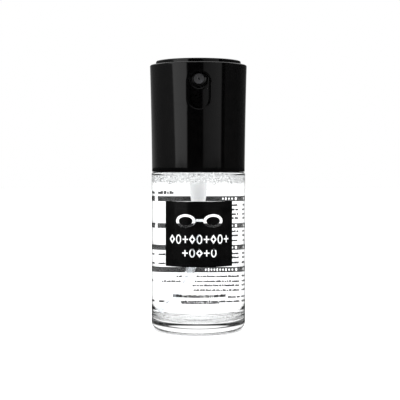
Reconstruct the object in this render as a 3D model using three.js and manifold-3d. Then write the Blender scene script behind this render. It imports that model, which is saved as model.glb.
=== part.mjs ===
// A lens cleaning spray: a clear 30 ml bottle with a thick base, its fluid, a finger pump with a dip tube,
// and a tall black sleeve round the pump with a window for the nozzle.
// Millimetres, +Z up. The origin is the centre of the bottle's underside, and the nozzle faces -Y.
import * as THREE from "three";
import { mergeVertices } from "three/addons/utils/BufferGeometryUtils.js";
import Module from "manifold-3d";

const wasm = await Module();
wasm.setup();

// ---- Clearances ----
const SEAT_GAP = 0.05; // between faces that rest on each other
const SLIDE_GAP = 0.05; // on the radius, between a part and the bore that guides it
const PRESS_GAP = 0.05; // on the radius, where a part is pushed home and stays
const LOOSE_GAP = 0.3; // round a part that only has to pass, and round what stands in the fluid
const STOP_GAP = 0.3; // left at the end of a stroke
const FILM_GAP = 0.05; // adhesive under a label

// ---- Bottle ----
const BOTTLE_RADIUS = 16;
const BOTTLE_HEIGHT = 53.7; // from the underside to the flat shoulder
const BOTTLE_WALL = 1.8;
const BASE_THICKNESS = 3.6; // the heavy base, at its edge
const SHOULDER_THICKNESS = 0.6;
const HEEL_RADIUS = 2.8; // outside corner at the base
const SHOULDER_RADIUS = 0.8;
const CAVITY_HEEL_RADIUS = 4.5;
const CAVITY_SHOULDER_RADIUS = 1;
const FLOOR_RISE = 0.5; // the cavity's floor is highest at its middle
const PUSH_UP = 1.2; // height of the hollow in the underside
const FOOT_WIDTH = 3.7; // flat ring that the bottle stands on

// ---- Neck and its thread ----
const NECK_RADIUS = 9; // at the root of the thread
const NECK_WALL = 1.8;
const NECK_HEIGHT = 12.3;
const NECK_EDGE = 0.3;
const THREAD_PITCH = 3.175;
const THREAD_TURNS = 1.5;
const THREAD_DEPTH = 0.95;
const THREAD_ROOT_WIDTH = 1.3;
const THREAD_CREST_WIDTH = 0.7;
const THREAD_FLANK_GAP = 0.15;
const THREAD_BELOW_RIM = 1.6; // from the rim to the middle of the thread's top end
const THREAD_FADE_TURNS = 0.12; // each end of a thread grows out of the wall over this much

// ---- Fluid and labels ----
const HEADSPACE = 0.3; // air between the fluid and the inside of the shoulder
const LABEL_THICKNESS = 0.1;
const FRONT_LABEL_WIDTH = 24.3; // measured round the bottle
const FRONT_LABEL_HEIGHT = 21.5;
const FRONT_LABEL_Z = 22.7;
const BACK_LABEL_WIDTH = 36;
const BACK_LABEL_HEIGHT = 40.5;
const BACK_LABEL_Z = 7.5;

// ---- Pump ----
const TRAVEL = 5; // stroke of the head
const PISTON_SLIP = 0.6; // the piston slides this far along the plunger and opens its ports
const BALL_RADIUS = 1.25;
const BALL_LIFT = 0.7;
const CHAMBER_RADIUS = 3.3;
const HOUSING_WALL = 1.9;
const HOUSING_FLOOR = 1.6;
const HOUSING_EDGE = 0.3;
const FLANGE_THICKNESS = 1;
const FLANGE_INSET = 0.4; // the pump's flanges end this far inside the neck's outside
const GASKET_THICKNESS = 0.8;
const RETAINER_FLANGE = 0.8;
const RETAINER_RADIUS = 4.2;
const RETAINER_TOWER_RADIUS = 4.8;
const RETAINER_PROUD = 1.2; // the retainer's tower stands this far out of the closure
const RETAINER_LIP = 0.8; // the stem's upper stop lies this far below the retainer's flange
const STEM_RADIUS = 2;
const STEM_BORE = 0.9;
const STEM_COLLAR_RADIUS = 2.5;
const STEM_COLLAR = 0.7;
const STEM_EDGE = 0.2;
const PLUNGER_HEAD_RADIUS = 2.75;
const PLUNGER_HEAD = 0.9;
const PLUNGER_SHAFT_RADIUS = 1.4;
const PLUNGER_TAIL = 2.5; // length that is pressed into the stem
const PLUNGER_BORE = 0.45;
const PORT_RADIUS = 0.22;
const PISTON_HEIGHT = 1.8;
const PISTON_BAND = 0.55; // thickness of the sealing band that slides in the chamber
const PISTON_HUB = 0.6;
const PISTON_WEB = 0.6;
const SPRING_RADIUS = 2.5; // to the middle of the wire
const SPRING_WIRE = 0.5; // diameter
const SPRING_TURNS = 5;
const SPRING_SPARE = 0.4; // space left between the coils at full stroke
const SEAT_RADIUS = 0.7; // hole under the ball
const SEAT_SLOPE = 0.875; // rise of the ball's seat for each millimetre outwards
const SEAT_THROAT = 0.7; // length of the hole, down to the end of the dip tube
const CAGE_RADIUS = 1.5; // inside the fingers round the ball
const CAGE_WALL = 0.5;
const CAGE_SLOT = 0.8;
const CAGE_LIP = 0.35;
const SPIGOT_RADIUS = 2.25;
const SPIGOT_LENGTH = 10.5;
const SPIGOT_TIP_RADIUS = 1.75;
const SPIGOT_TAPER = 3.4; // length over which the spigot narrows
const TUBE_RADIUS = 1.2;
const TUBE_BORE = 0.6;
const TUBE_END_TO_WALL = 3.8; // from the middle of the tube's end to the cavity's wall
const TUBE_END_HEIGHT = 1.9; // and to the cavity's floor
const TUBE_BEND_HEIGHT = 8.4; // height above the floor at which the tube starts to lean
const TUBE_BEND_REACH = 3.5;

// ---- Closure ----
const CLOSURE_WALL = 1.4;
const CLOSURE_WEB = 1.2;
const CLOSURE_ABOVE_SHOULDER = 1.2;
const KEY_COUNT = 8;
const KEY_WIDTH = 1;
const KEY_HEIGHT = 0.5;
const KEY_LENGTH = 7;
const KEY_FROM_FOOT = 1.8;
const CLOSURE_EDGE = 0.4;

// ---- Sleeve ----
const SLEEVE_INSET = 0.13; // the sleeve's foot is this much smaller than the bottle, on the radius
const SLEEVE_FLARE = 0.7; // and its rim is this much wider than its foot
const SLEEVE_WALL = 1.05; // at the foot
const SLEEVE_TO_SHOULDER = 0.1;
const SLEEVE_EDGE = 0.4; // rounding of the rim
const COLLAR_WALL = 1.1; // inner collar, which grips the closure
const COLLAR_FROM_FOOT = 1.4;
const WEB_THICKNESS = 1.2; // ring that joins the collar to the outer wall
const WEB_FROM_FOOT = 5;
const WINDOW_WIDTH = 7.75;
const WINDOW_LENGTH = 12.3;
const GUIDE_WIDTH = 1.2; // rib behind the head, which keeps the nozzle in the window
const GUIDE_DEPTH = 0.65;
const GUIDE_BELOW_RIM = 1.1; // the slot for the rib ends this far below the sleeve's rim

// ---- Head ----
const SOCKET_DEPTH = 5.9; // length of stem inside the head
const NOZZLE_ABOVE_STEM = 2.3;
const WINDOW_ABOVE_NOZZLE = 2.2;
const RIM_ABOVE_WINDOW = 3.2;
const HEAD_PROUD = 1.4; // the head stands this far out of the sleeve
const HEAD_WALL = 1.25;
const HEAD_TOP = 1.5;
const HEAD_EDGE = 0.35;
const FINGER_DISH_DEPTH = 0.7;
const FINGER_DISH_MARGIN = 2; // flat ring round the dish
const HEAD_BELOW_WINDOW = 0.6; // the skirt reaches this far below the window
const SOCKET_WALL = 1.5;
const HEAD_RIBS = 3;
const HEAD_RIB_WIDTH = 0.9;
const HEAD_RIB_DEPTH = 7;
const NOZZLE_BOSS_RADIUS = 2.9;
const NOZZLE_DISH_RADIUS = 3.45;
const NOZZLE_DISH_FLOOR = 2.35; // radius of the dish's flat floor
const NOZZLE_DISH_DEPTH = 1.35;
const INSERT_RADIUS = 1.8;
const INSERT_LENGTH = 3.6;
const INSERT_PROUD = 0.15; // over the dish's floor
const INSERT_FACE = 0.6;
const INSERT_EDGE = 0.2;
const ORIFICE_RADIUS = 0.2;
const ORIFICE_CONE = 0.8;
const CORE_RADIUS = 1.15; // pin inside the insert
const CORE_LENGTH = 2.8;
const CHANNEL_RADIUS = 0.45;
const CHANNEL_OFFSET = 1.25; // above the nozzle's axis

// ---- Fineness of the round shapes ----
const OUTER_SEGMENTS = 40;
const INNER_SEGMENTS = 20;
const NOZZLE_SEGMENTS = 24;
const ARC_STEPS = 3;
const THREAD_STEPS = 24; // per turn
const SPRING_STEPS = 14; // per turn
const WIRE_SIDES = 6;
const TUBE_STEPS = 16;
const TUBE_SIDES = 12;
const BALL_STEPS = 6;
const CUT_OVERRUN = 1; // a cutting shape runs past the surface that it opens
const SINK = 0.4; // a joined shape reaches this far into the wall that carries it

// ---- Levels, from the bottle up ----
const SHOULDER_Z = BOTTLE_HEIGHT;
const RIM_Z = SHOULDER_Z + NECK_HEIGHT;
const GASKET_Z = RIM_Z + SEAT_GAP;
const FLANGE_Z = GASKET_Z + GASKET_THICKNESS + SEAT_GAP;
const FLANGE_TOP_Z = FLANGE_Z + FLANGE_THICKNESS;
const RETAINER_Z = FLANGE_TOP_Z + SEAT_GAP;
const CLOSURE_WEB_Z = RETAINER_Z + RETAINER_FLANGE + SEAT_GAP;
const CLOSURE_TOP_Z = CLOSURE_WEB_Z + CLOSURE_WEB;
const CLOSURE_FOOT_Z = SHOULDER_Z + CLOSURE_ABOVE_SHOULDER;
const RETAINER_TOP_Z = CLOSURE_TOP_Z + RETAINER_PROUD;
const SOCKET_Z = RETAINER_TOP_Z + TRAVEL + STOP_GAP;
const STEM_TOP_Z = SOCKET_Z + SOCKET_DEPTH;
const NOZZLE_Z = STEM_TOP_Z + NOZZLE_ABOVE_STEM;
const WINDOW_TOP_Z = NOZZLE_Z + WINDOW_ABOVE_NOZZLE;
const WINDOW_FOOT_Z = WINDOW_TOP_Z - WINDOW_LENGTH;
const SLEEVE_TOP_Z = WINDOW_TOP_Z + RIM_ABOVE_WINDOW;
const SLEEVE_FOOT_Z = SHOULDER_Z + SLEEVE_TO_SHOULDER;
const HEAD_TOP_Z = SLEEVE_TOP_Z + HEAD_PROUD;
const HEAD_FOOT_Z = WINDOW_FOOT_Z - HEAD_BELOW_WINDOW;
const GUIDE_TOP_Z = SLEEVE_TOP_Z - GUIDE_BELOW_RIM - TRAVEL - STOP_GAP;

// ---- Levels inside the pump, from the retainer down ----
const STEM_STOP_Z = RETAINER_Z - RETAINER_LIP;
const COLLAR_TOP_Z = STEM_STOP_Z - SEAT_GAP;
const COLLAR_FOOT_Z = COLLAR_TOP_Z - STEM_COLLAR;
const PLUG_FOOT_Z = COLLAR_FOOT_Z + SEAT_GAP; // the retainer's plug ends above the piston's highest place
const PISTON_TOP_Z = COLLAR_FOOT_Z - SEAT_GAP - PISTON_SLIP;
const PISTON_FOOT_Z = PISTON_TOP_Z - PISTON_HEIGHT;
const PLUNGER_TOP_Z = PISTON_FOOT_Z - SEAT_GAP;
const PLUNGER_FOOT_Z = PLUNGER_TOP_Z - PLUNGER_HEAD;
const SPRING_TOP_Z = PLUNGER_FOOT_Z - SEAT_GAP;
const SPRING_LENGTH = SPRING_TURNS * SPRING_WIRE + SPRING_SPARE + TRAVEL;
const SPRING_FOOT_Z = SPRING_TOP_Z - SPRING_LENGTH;
const CHAMBER_Z = SPRING_FOOT_Z - SEAT_GAP;
const BARREL_FOOT_Z = CHAMBER_Z - HOUSING_FLOOR;
const SPIGOT_FOOT_Z = BARREL_FOOT_Z - SPIGOT_LENGTH;

const SEAT_Z = CHAMBER_Z - (CAGE_RADIUS - SEAT_RADIUS) * SEAT_SLOPE;
const TUBE_STOP_Z = SEAT_Z - SEAT_THROAT;
// The ball rests on the conical seat, and is stopped by the cage's lip once it has lifted.
const BALL_Z = SEAT_Z - SEAT_SLOPE * SEAT_RADIUS + (BALL_RADIUS + SEAT_GAP) * Math.hypot(1, SEAT_SLOPE);
const LIP_RADIUS = CAGE_RADIUS - CAGE_LIP;
const LIP_Z = BALL_Z + BALL_LIFT + Math.sqrt(BALL_RADIUS ** 2 - LIP_RADIUS ** 2) + 2 * SEAT_GAP;
const CAGE_TOP_Z = LIP_Z + CAGE_LIP;

// ---- Radii that follow from the values above ----
const CAVITY_RADIUS = BOTTLE_RADIUS - BOTTLE_WALL;
const NECK_BORE = NECK_RADIUS - NECK_WALL;
const FOOT_RADIUS = BOTTLE_RADIUS - HEEL_RADIUS;
const CAVITY_TOP_Z = SHOULDER_Z - SHOULDER_THICKNESS;
const FLANGE_RADIUS = NECK_RADIUS - FLANGE_INSET;
const CLOSURE_BORE = NECK_RADIUS + THREAD_DEPTH + LOOSE_GAP;
const CLOSURE_RADIUS = CLOSURE_BORE + CLOSURE_WALL;
const SLEEVE_FOOT_RADIUS = BOTTLE_RADIUS - SLEEVE_INSET;
const SLEEVE_RIM_RADIUS = SLEEVE_FOOT_RADIUS + SLEEVE_FLARE;
const SLEEVE_BORE = SLEEVE_FOOT_RADIUS - SLEEVE_WALL;
const HEAD_RADIUS = SLEEVE_BORE - LOOSE_GAP;
const SOCKET_RADIUS = STEM_RADIUS + PRESS_GAP;
const TUBE_SOCKET = TUBE_RADIUS + PRESS_GAP;

// ---- Helpers ----
const at = (r, z) => new THREE.Vector2(r, z);

// The points of a rounded corner about (r, z), between two angles in degrees.
function arc(r, z, radius, from, to) {
  return Array.from({ length: ARC_STEPS + 1 }, (_, i) => {
    const angle = THREE.MathUtils.degToRad(from + ((to - from) * i) / ARC_STEPS);
    return at(r + radius * Math.cos(angle), z + radius * Math.sin(angle));
  });
}

// Turns a profile about +Z. It runs up the outside, and is closed unless it starts and ends on the axis.
function turned(profile, segments) {
  const onAxis = profile[0].x === 0 && profile.at(-1).x === 0;
  const outline = onAxis ? profile : [...profile, profile[0].clone()];
  return new THREE.LatheGeometry(outline, segments).rotateX(Math.PI / 2);
}

// A solid disc or a ring, from one level to another.
function ring(outer, inner, foot, top, segments) {
  return turned([at(inner, foot), at(outer, foot), at(outer, top), at(inner, top)], segments);
}

function box(x, y, z, sizeX, sizeY, sizeZ) {
  return new THREE.BoxGeometry(sizeX, sizeY, sizeZ).translate(x, y, z);
}

// Lays a turned shape down, so that what was its height is now the distance in front of the nozzle's axis.
const facingFront = (geometry) => geometry.rotateX(Math.PI / 2).translate(0, 0, NOZZLE_Z);

// Copies of a shape, evenly round the axis.
function aroundAxis(count, shape) {
  return Array.from({ length: count }, (_, i) => shape().rotateZ((2 * Math.PI * i) / count));
}

// A closed geometry as a solid that can be joined and cut. Triangles that closed up on the axis are dropped.
function solidOf(geometry) {
  const bare = geometry.index ? geometry.toNonIndexed() : geometry.clone();
  bare.deleteAttribute("normal");
  bare.deleteAttribute("uv");
  const merged = mergeVertices(bare, 1e-4);
  const corners = merged.index.array;
  const kept = [];
  for (let i = 0; i < corners.length; i += 3) {
    const [a, b, c] = corners.slice(i, i + 3);
    if (a !== b && b !== c && c !== a) kept.push(a, b, c);
  }
  const vertProperties = merged.attributes.position.array;
  return new wasm.Manifold(new wasm.Mesh({ numProp: 3, vertProperties, triVerts: new Uint32Array(kept) }));
}

// A body with shapes joined to it and then others cut from it.
function shaped(body, { joined = [], cut = [] }) {
  let solid = solidOf(body);
  for (const shape of joined) solid = solid.add(solidOf(shape));
  for (const shape of cut) solid = solid.subtract(solidOf(shape));
  const { vertProperties, triVerts } = solid.getMesh();
  const geometry = new THREE.BufferGeometry();
  geometry.setAttribute("position", new THREE.BufferAttribute(vertProperties, 3));
  geometry.setIndex(new THREE.BufferAttribute(triVerts, 1));
  geometry.computeVertexNormals();
  return geometry;
}

// A screw thread: its section is extruded straight, then wound down round the axis from the top end.
// outward is 1 on a neck, where the crest lies outside the root, and -1 inside a closure.
function threadRidge(rootRadius, outward, topZ) {
  const root = THREAD_ROOT_WIDTH / 2;
  const crest = THREAD_CREST_WIDTH / 2;
  const section = new THREE.Shape([
    at(-SINK, -root),
    at(0, -root),
    at(THREAD_DEPTH, -crest),
    at(THREAD_DEPTH, crest),
    at(0, root),
    at(-SINK, root),
  ]);
  const straight = new THREE.ExtrudeGeometry(section, {
    depth: THREAD_TURNS,
    steps: Math.round(THREAD_TURNS * THREAD_STEPS),
    bevelEnabled: false,
  });
  const place = straight.attributes.position;
  for (let i = 0; i < place.count; i++) {
    const turn = place.getZ(i);
    const toEnd = Math.min(turn, THREAD_TURNS - turn) / THREAD_FADE_TURNS;
    const fade = Math.min(1, 0.2 + toEnd);
    const height = Math.max(place.getX(i), 0) * fade + Math.min(place.getX(i), 0);
    const radius = rootRadius + outward * height;
    // An internal thread is wound the other way through its own section, so that its faces still point out.
    const angle = -2 * Math.PI * (outward > 0 ? turn : THREAD_TURNS - turn);
    const z = topZ + place.getY(i) + (THREAD_PITCH * angle) / (2 * Math.PI);
    place.setXYZ(i, radius * Math.cos(angle), radius * Math.sin(angle), z);
  }
  return straight;
}

// A coil spring's wire, whose coils lie closer together at both ends.
class CoilCurve extends THREE.Curve {
  getPoint(t, target = new THREE.Vector3()) {
    const angle = 2 * Math.PI * SPRING_TURNS * t;
    const share = t - (0.8 * Math.sin(2 * Math.PI * t)) / (2 * Math.PI);
    const z = SPRING_FOOT_Z + SPRING_WIRE / 2 + (SPRING_LENGTH - SPRING_WIRE) * share;
    return target.set(SPRING_RADIUS * Math.cos(angle), SPRING_RADIUS * Math.sin(angle), z);
  }
}

// A round section with an optional bore, for a wire or a tube.
function roundSection(radius, bore, sides) {
  const circle = (r, clockwise) => {
    const points = Array.from({ length: sides }, (_, i) => {
      const angle = (2 * Math.PI * i) / sides;
      return at(r * Math.cos(angle), r * Math.sin(angle));
    });
    return clockwise ? points.reverse() : points;
  };
  const section = new THREE.Shape(circle(radius, false));
  if (bore > 0) section.holes.push(new THREE.Path(circle(bore, true)));
  return section;
}

function swept(section, path, steps) {
  return new THREE.ExtrudeGeometry(section, { steps, bevelEnabled: false, extrudePath: path });
}

// ---- Bottle, fluid and labels ----

// The cavity's outline, from the middle of its floor out and up to the edge of its roof, shrunk by a gap.
function cavityOutline(gap) {
  const wall = CAVITY_RADIUS - gap;
  const floor = BASE_THICKNESS + gap;
  const roof = CAVITY_TOP_Z - gap;
  const heel = CAVITY_HEEL_RADIUS;
  const shoulder = CAVITY_SHOULDER_RADIUS;
  return [
    at(0, floor + FLOOR_RISE),
    ...arc(wall - heel, floor + heel, heel, 270, 360),
    ...arc(wall - shoulder, roof - shoulder, shoulder, 0, 90),
  ];
}

function bottle() {
  const pushUp = [at(0, PUSH_UP), at(FOOT_RADIUS - FOOT_WIDTH - 2 * PUSH_UP, PUSH_UP)];
  const outside = [
    ...pushUp,
    at(FOOT_RADIUS - FOOT_WIDTH, 0),
    ...arc(FOOT_RADIUS, HEEL_RADIUS, HEEL_RADIUS, 270, 360),
    ...arc(BOTTLE_RADIUS - SHOULDER_RADIUS, SHOULDER_Z - SHOULDER_RADIUS, SHOULDER_RADIUS, 0, 90),
    at(NECK_RADIUS, SHOULDER_Z),
    at(NECK_RADIUS, RIM_Z - NECK_EDGE),
    at(NECK_RADIUS - NECK_EDGE, RIM_Z),
    at(NECK_BORE, RIM_Z),
  ];
  const profile = [...outside, at(NECK_BORE, CAVITY_TOP_Z), ...cavityOutline(0).reverse()];
  const thread = threadRidge(NECK_RADIUS, 1, RIM_Z - THREAD_BELOW_RIM);
  return shaped(turned(profile, OUTER_SEGMENTS), { joined: [thread] });
}

// The dip tube's middle line: straight down out of the spigot, then leaning to the left over the floor.
function dipTubePath(topZ, overrun) {
  const end = new THREE.Vector3(TUBE_END_TO_WALL - CAVITY_RADIUS, 0, BASE_THICKNESS + TUBE_END_HEIGHT);
  const bendZ = BASE_THICKNESS + TUBE_BEND_HEIGHT;
  const bend = new THREE.Vector3(end.x + TUBE_BEND_REACH, 0, bendZ);
  const straightFoot = new THREE.Vector3(0, 0, SPIGOT_FOOT_Z);
  const path = new THREE.CurvePath();
  const lean = new THREE.CubicBezierCurve3(straightFoot, new THREE.Vector3(0, 0, bendZ), bend, end);
  const onward = end.clone().addScaledVector(lean.getTangent(1), overrun);
  path.add(new THREE.LineCurve3(new THREE.Vector3(0, 0, topZ), straightFoot));
  path.add(lean);
  if (overrun > 0) path.add(new THREE.LineCurve3(end, onward));
  return path;
}

// Fills the cavity up to its level, with room for the spigot and the dip tube.
function cleaningFluid() {
  const level = CAVITY_TOP_Z - HEADSPACE;
  const profile = [...cavityOutline(SEAT_GAP), at(0, CAVITY_TOP_Z - SEAT_GAP)];
  const air = ring(BOTTLE_RADIUS, 0, level, CAVITY_TOP_Z, OUTER_SEGMENTS);
  const spigotHole = ring(
    SPIGOT_RADIUS + LOOSE_GAP,
    0,
    SPIGOT_FOOT_Z - LOOSE_GAP,
    level + CUT_OVERRUN,
    INNER_SEGMENTS,
  );
  const tubeHole = swept(
    roundSection(TUBE_RADIUS + LOOSE_GAP, 0, TUBE_SIDES),
    dipTubePath(level, LOOSE_GAP),
    TUBE_STEPS,
  );
  return shaped(turned(profile, OUTER_SEGMENTS), { cut: [air, spigotHole, tubeHole] });
}

// A film on the bottle's wall: the sector of a ring, centred on an angle in degrees.
function label(width, height, footZ, middle) {
  const half = width / (2 * BOTTLE_RADIUS);
  const centre = THREE.MathUtils.degToRad(middle);
  const steps = Math.ceil((half * OUTER_SEGMENTS) / Math.PI);
  // The middle of each flat facet clears the wall by the adhesive.
  const inner = (BOTTLE_RADIUS + FILM_GAP) / Math.cos(half / steps);
  const outer = inner + LABEL_THICKNESS;
  const edge = (radius) =>
    Array.from({ length: steps + 1 }, (_, i) => {
      const angle = centre - half + (2 * half * i) / steps;
      return at(radius * Math.cos(angle), radius * Math.sin(angle));
    });
  const section = new THREE.Shape([...edge(outer), ...edge(inner).reverse()]);
  return new THREE.ExtrudeGeometry(section, { depth: height, bevelEnabled: false }).translate(0, 0, footZ);
}

// ---- Pump ----

function neckGasket() {
  return ring(FLANGE_RADIUS, NECK_BORE, GASKET_Z, GASKET_Z + GASKET_THICKNESS, OUTER_SEGMENTS);
}

// The pump's chamber with the ball's seat and cage in its floor, the flange that hangs it on the neck,
// the mouth that takes the retainer, and the spigot that holds the dip tube.
function pumpHousing() {
  const barrel = CHAMBER_RADIUS + HOUSING_WALL;
  const mouth = RETAINER_RADIUS + PRESS_GAP;
  const cage = CAGE_RADIUS + CAGE_WALL;
  const profile = [
    at(SEAT_RADIUS, TUBE_STOP_Z),
    at(TUBE_SOCKET, TUBE_STOP_Z),
    at(TUBE_SOCKET, SPIGOT_FOOT_Z),
    at(SPIGOT_TIP_RADIUS, SPIGOT_FOOT_Z),
    at(SPIGOT_RADIUS, SPIGOT_FOOT_Z + SPIGOT_TAPER),
    at(SPIGOT_RADIUS, BARREL_FOOT_Z),
    at(barrel - HOUSING_EDGE, BARREL_FOOT_Z),
    at(barrel, BARREL_FOOT_Z + HOUSING_EDGE),
    at(barrel, FLANGE_Z),
    at(FLANGE_RADIUS, FLANGE_Z),
    at(FLANGE_RADIUS, FLANGE_TOP_Z),
    at(mouth, FLANGE_TOP_Z),
    at(mouth, PLUG_FOOT_Z - SEAT_GAP),
    at(CHAMBER_RADIUS, PLUG_FOOT_Z - SEAT_GAP),
    at(CHAMBER_RADIUS, CHAMBER_Z),
    at(cage, CHAMBER_Z),
    at(cage, CAGE_TOP_Z),
    at(LIP_RADIUS, CAGE_TOP_Z),
    at(LIP_RADIUS, LIP_Z),
    at(CAGE_RADIUS, LIP_Z - CAGE_LIP / 2),
    at(CAGE_RADIUS, CHAMBER_Z),
    at(SEAT_RADIUS, SEAT_Z),
  ];
  const slotFoot = CHAMBER_Z + CAGE_SLOT / 2;
  const slotHeight = CAGE_TOP_Z + CUT_OVERRUN - slotFoot;
  const slotZ = slotFoot + slotHeight / 2;
  const across = 2 * cage + SEAT_GAP;
  const slots = [
    box(0, 0, slotZ, CAGE_SLOT, across, slotHeight),
    box(0, 0, slotZ, across, CAGE_SLOT, slotHeight),
  ];
  return shaped(turned(profile, INNER_SEGMENTS), { cut: slots });
}

function checkBall() {
  const profile = Array.from({ length: 2 * BALL_STEPS + 1 }, (_, i) => {
    const angle = (Math.PI * i) / (2 * BALL_STEPS);
    const onAxis = i === 0 || i === 2 * BALL_STEPS;
    return at(onAxis ? 0 : BALL_RADIUS * Math.sin(angle), BALL_Z - BALL_RADIUS * Math.cos(angle));
  });
  return turned(profile, 2 * BALL_STEPS);
}

function returnSpring() {
  const wire = roundSection(SPRING_WIRE / 2, 0, WIRE_SIDES);
  return swept(wire, new CoilCurve(), SPRING_TURNS * SPRING_STEPS);
}

// The stem's lower end: a head that the spring lifts and the piston rests on, and a bored shaft with two
// ports that the piston covers at rest.
function plunger() {
  const shaftTop = COLLAR_FOOT_Z - SEAT_GAP;
  const tailTop = shaftTop + PLUNGER_TAIL;
  const tail = STEM_BORE - PRESS_GAP;
  const boreFoot = PLUNGER_TOP_Z + PORT_RADIUS;
  const profile = [
    at(0, PLUNGER_FOOT_Z),
    at(PLUNGER_HEAD_RADIUS, PLUNGER_FOOT_Z),
    at(PLUNGER_HEAD_RADIUS, PLUNGER_TOP_Z),
    at(PLUNGER_SHAFT_RADIUS, PLUNGER_TOP_Z),
    at(PLUNGER_SHAFT_RADIUS, shaftTop),
    at(tail, shaftTop),
    at(tail, tailTop),
    at(PLUNGER_BORE, tailTop),
    at(PLUNGER_BORE, boreFoot),
    at(0, boreFoot),
  ];
  const portZ = PISTON_FOOT_Z + PISTON_SLIP - PORT_RADIUS;
  const across = 2 * (PLUNGER_SHAFT_RADIUS + CUT_OVERRUN);
  const ports = ring(PORT_RADIUS, 0, -across / 2, across / 2, 2 * ARC_STEPS);
  ports.rotateX(Math.PI / 2).translate(0, 0, portZ);
  return shaped(turned(profile, INNER_SEGMENTS), { cut: [ports] });
}

// A band that slides in the chamber, joined by a thin web to a hub that slides on the plunger's shaft.
function piston() {
  const band = CHAMBER_RADIUS - SLIDE_GAP;
  const hub = PLUNGER_SHAFT_RADIUS + SLIDE_GAP;
  const webFoot = (PISTON_FOOT_Z + PISTON_TOP_Z - PISTON_WEB) / 2;
  const profile = [
    at(hub, PISTON_FOOT_Z),
    at(hub + PISTON_HUB, PISTON_FOOT_Z),
    at(hub + PISTON_HUB, webFoot),
    at(band - PISTON_BAND, webFoot),
    at(band - PISTON_BAND, PISTON_FOOT_Z),
    at(band, PISTON_FOOT_Z),
    at(band, PISTON_TOP_Z),
    at(band - PISTON_BAND, PISTON_TOP_Z),
    at(band - PISTON_BAND, webFoot + PISTON_WEB),
    at(hub + PISTON_HUB, webFoot + PISTON_WEB),
    at(hub + PISTON_HUB, PISTON_TOP_Z),
    at(hub, PISTON_TOP_Z),
  ];
  return turned(profile, INNER_SEGMENTS);
}

function pumpStem() {
  const profile = [
    at(STEM_BORE, COLLAR_FOOT_Z),
    at(STEM_COLLAR_RADIUS, COLLAR_FOOT_Z),
    at(STEM_COLLAR_RADIUS, COLLAR_TOP_Z),
    at(STEM_RADIUS, COLLAR_TOP_Z),
    at(STEM_RADIUS, STEM_TOP_Z - STEM_EDGE),
    at(STEM_RADIUS - STEM_EDGE, STEM_TOP_Z),
    at(STEM_BORE, STEM_TOP_Z),
  ];
  return turned(profile, INNER_SEGMENTS);
}

// Snaps into the housing's mouth, guides the stem and stops its collar.
function stemRetainer() {
  const guide = STEM_RADIUS + SLIDE_GAP;
  const pocket = STEM_COLLAR_RADIUS + LOOSE_GAP;
  const profile = [
    at(pocket, PLUG_FOOT_Z),
    at(RETAINER_RADIUS, PLUG_FOOT_Z),
    at(RETAINER_RADIUS, RETAINER_Z),
    at(FLANGE_RADIUS, RETAINER_Z),
    at(FLANGE_RADIUS, RETAINER_Z + RETAINER_FLANGE),
    at(RETAINER_TOWER_RADIUS, RETAINER_Z + RETAINER_FLANGE),
    at(RETAINER_TOWER_RADIUS, RETAINER_TOP_Z),
    at(guide, RETAINER_TOP_Z),
    at(guide, STEM_STOP_Z),
    at(pocket, STEM_STOP_Z),
  ];
  return turned(profile, INNER_SEGMENTS);
}

function dipTube() {
  const section = roundSection(TUBE_RADIUS, TUBE_BORE, TUBE_SIDES);
  return swept(section, dipTubePath(TUBE_STOP_Z - SEAT_GAP, 0), TUBE_STEPS);
}

// ---- Closure and sleeve ----

// A key on the closure, or the slot for it in the sleeve's collar, which is wider by a gap on every side.
function closureKey(gap) {
  const inner = CLOSURE_RADIUS - SINK;
  const outer = CLOSURE_RADIUS + KEY_HEIGHT + gap;
  const foot = CLOSURE_FOOT_Z + KEY_FROM_FOOT;
  const top = foot + KEY_LENGTH + gap;
  const openFoot = gap > 0 ? SLEEVE_FOOT_Z : foot;
  const height = top - openFoot;
  return box((inner + outer) / 2, 0, openFoot + height / 2, outer - inner, KEY_WIDTH + 2 * gap, height);
}

function screwClosure() {
  const hole = RETAINER_TOWER_RADIUS + LOOSE_GAP;
  const profile = [
    at(CLOSURE_BORE, CLOSURE_FOOT_Z),
    at(CLOSURE_RADIUS, CLOSURE_FOOT_Z),
    at(CLOSURE_RADIUS, CLOSURE_TOP_Z - CLOSURE_EDGE),
    at(CLOSURE_RADIUS - CLOSURE_EDGE, CLOSURE_TOP_Z),
    at(hole, CLOSURE_TOP_Z),
    at(hole, CLOSURE_WEB_Z),
    at(CLOSURE_BORE, CLOSURE_WEB_Z),
  ];
  // Just under the neck's thread: half of each thread's width where their flanks meet, and the gap.
  const meet = (THREAD_ROOT_WIDTH + THREAD_CREST_WIDTH) / 2;
  const slope = (THREAD_ROOT_WIDTH - THREAD_CREST_WIDTH) / 2 / THREAD_DEPTH;
  const below = meet - slope * LOOSE_GAP + THREAD_FLANK_GAP;
  const thread = threadRidge(CLOSURE_BORE, -1, RIM_Z - THREAD_BELOW_RIM - below);
  const keys = aroundAxis(KEY_COUNT, () => closureKey(0));
  return shaped(turned(profile, OUTER_SEGMENTS), { joined: [thread, ...keys] });
}

// The sleeve's outside grows wider towards the rim, slowly at first.
function flare(z) {
  const share = (z - SLEEVE_FOOT_Z) / (SLEEVE_TOP_Z - SLEEVE_FOOT_Z);
  return SLEEVE_FOOT_RADIUS + (SLEEVE_FLARE * share * (1 + share)) / 2;
}

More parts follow.
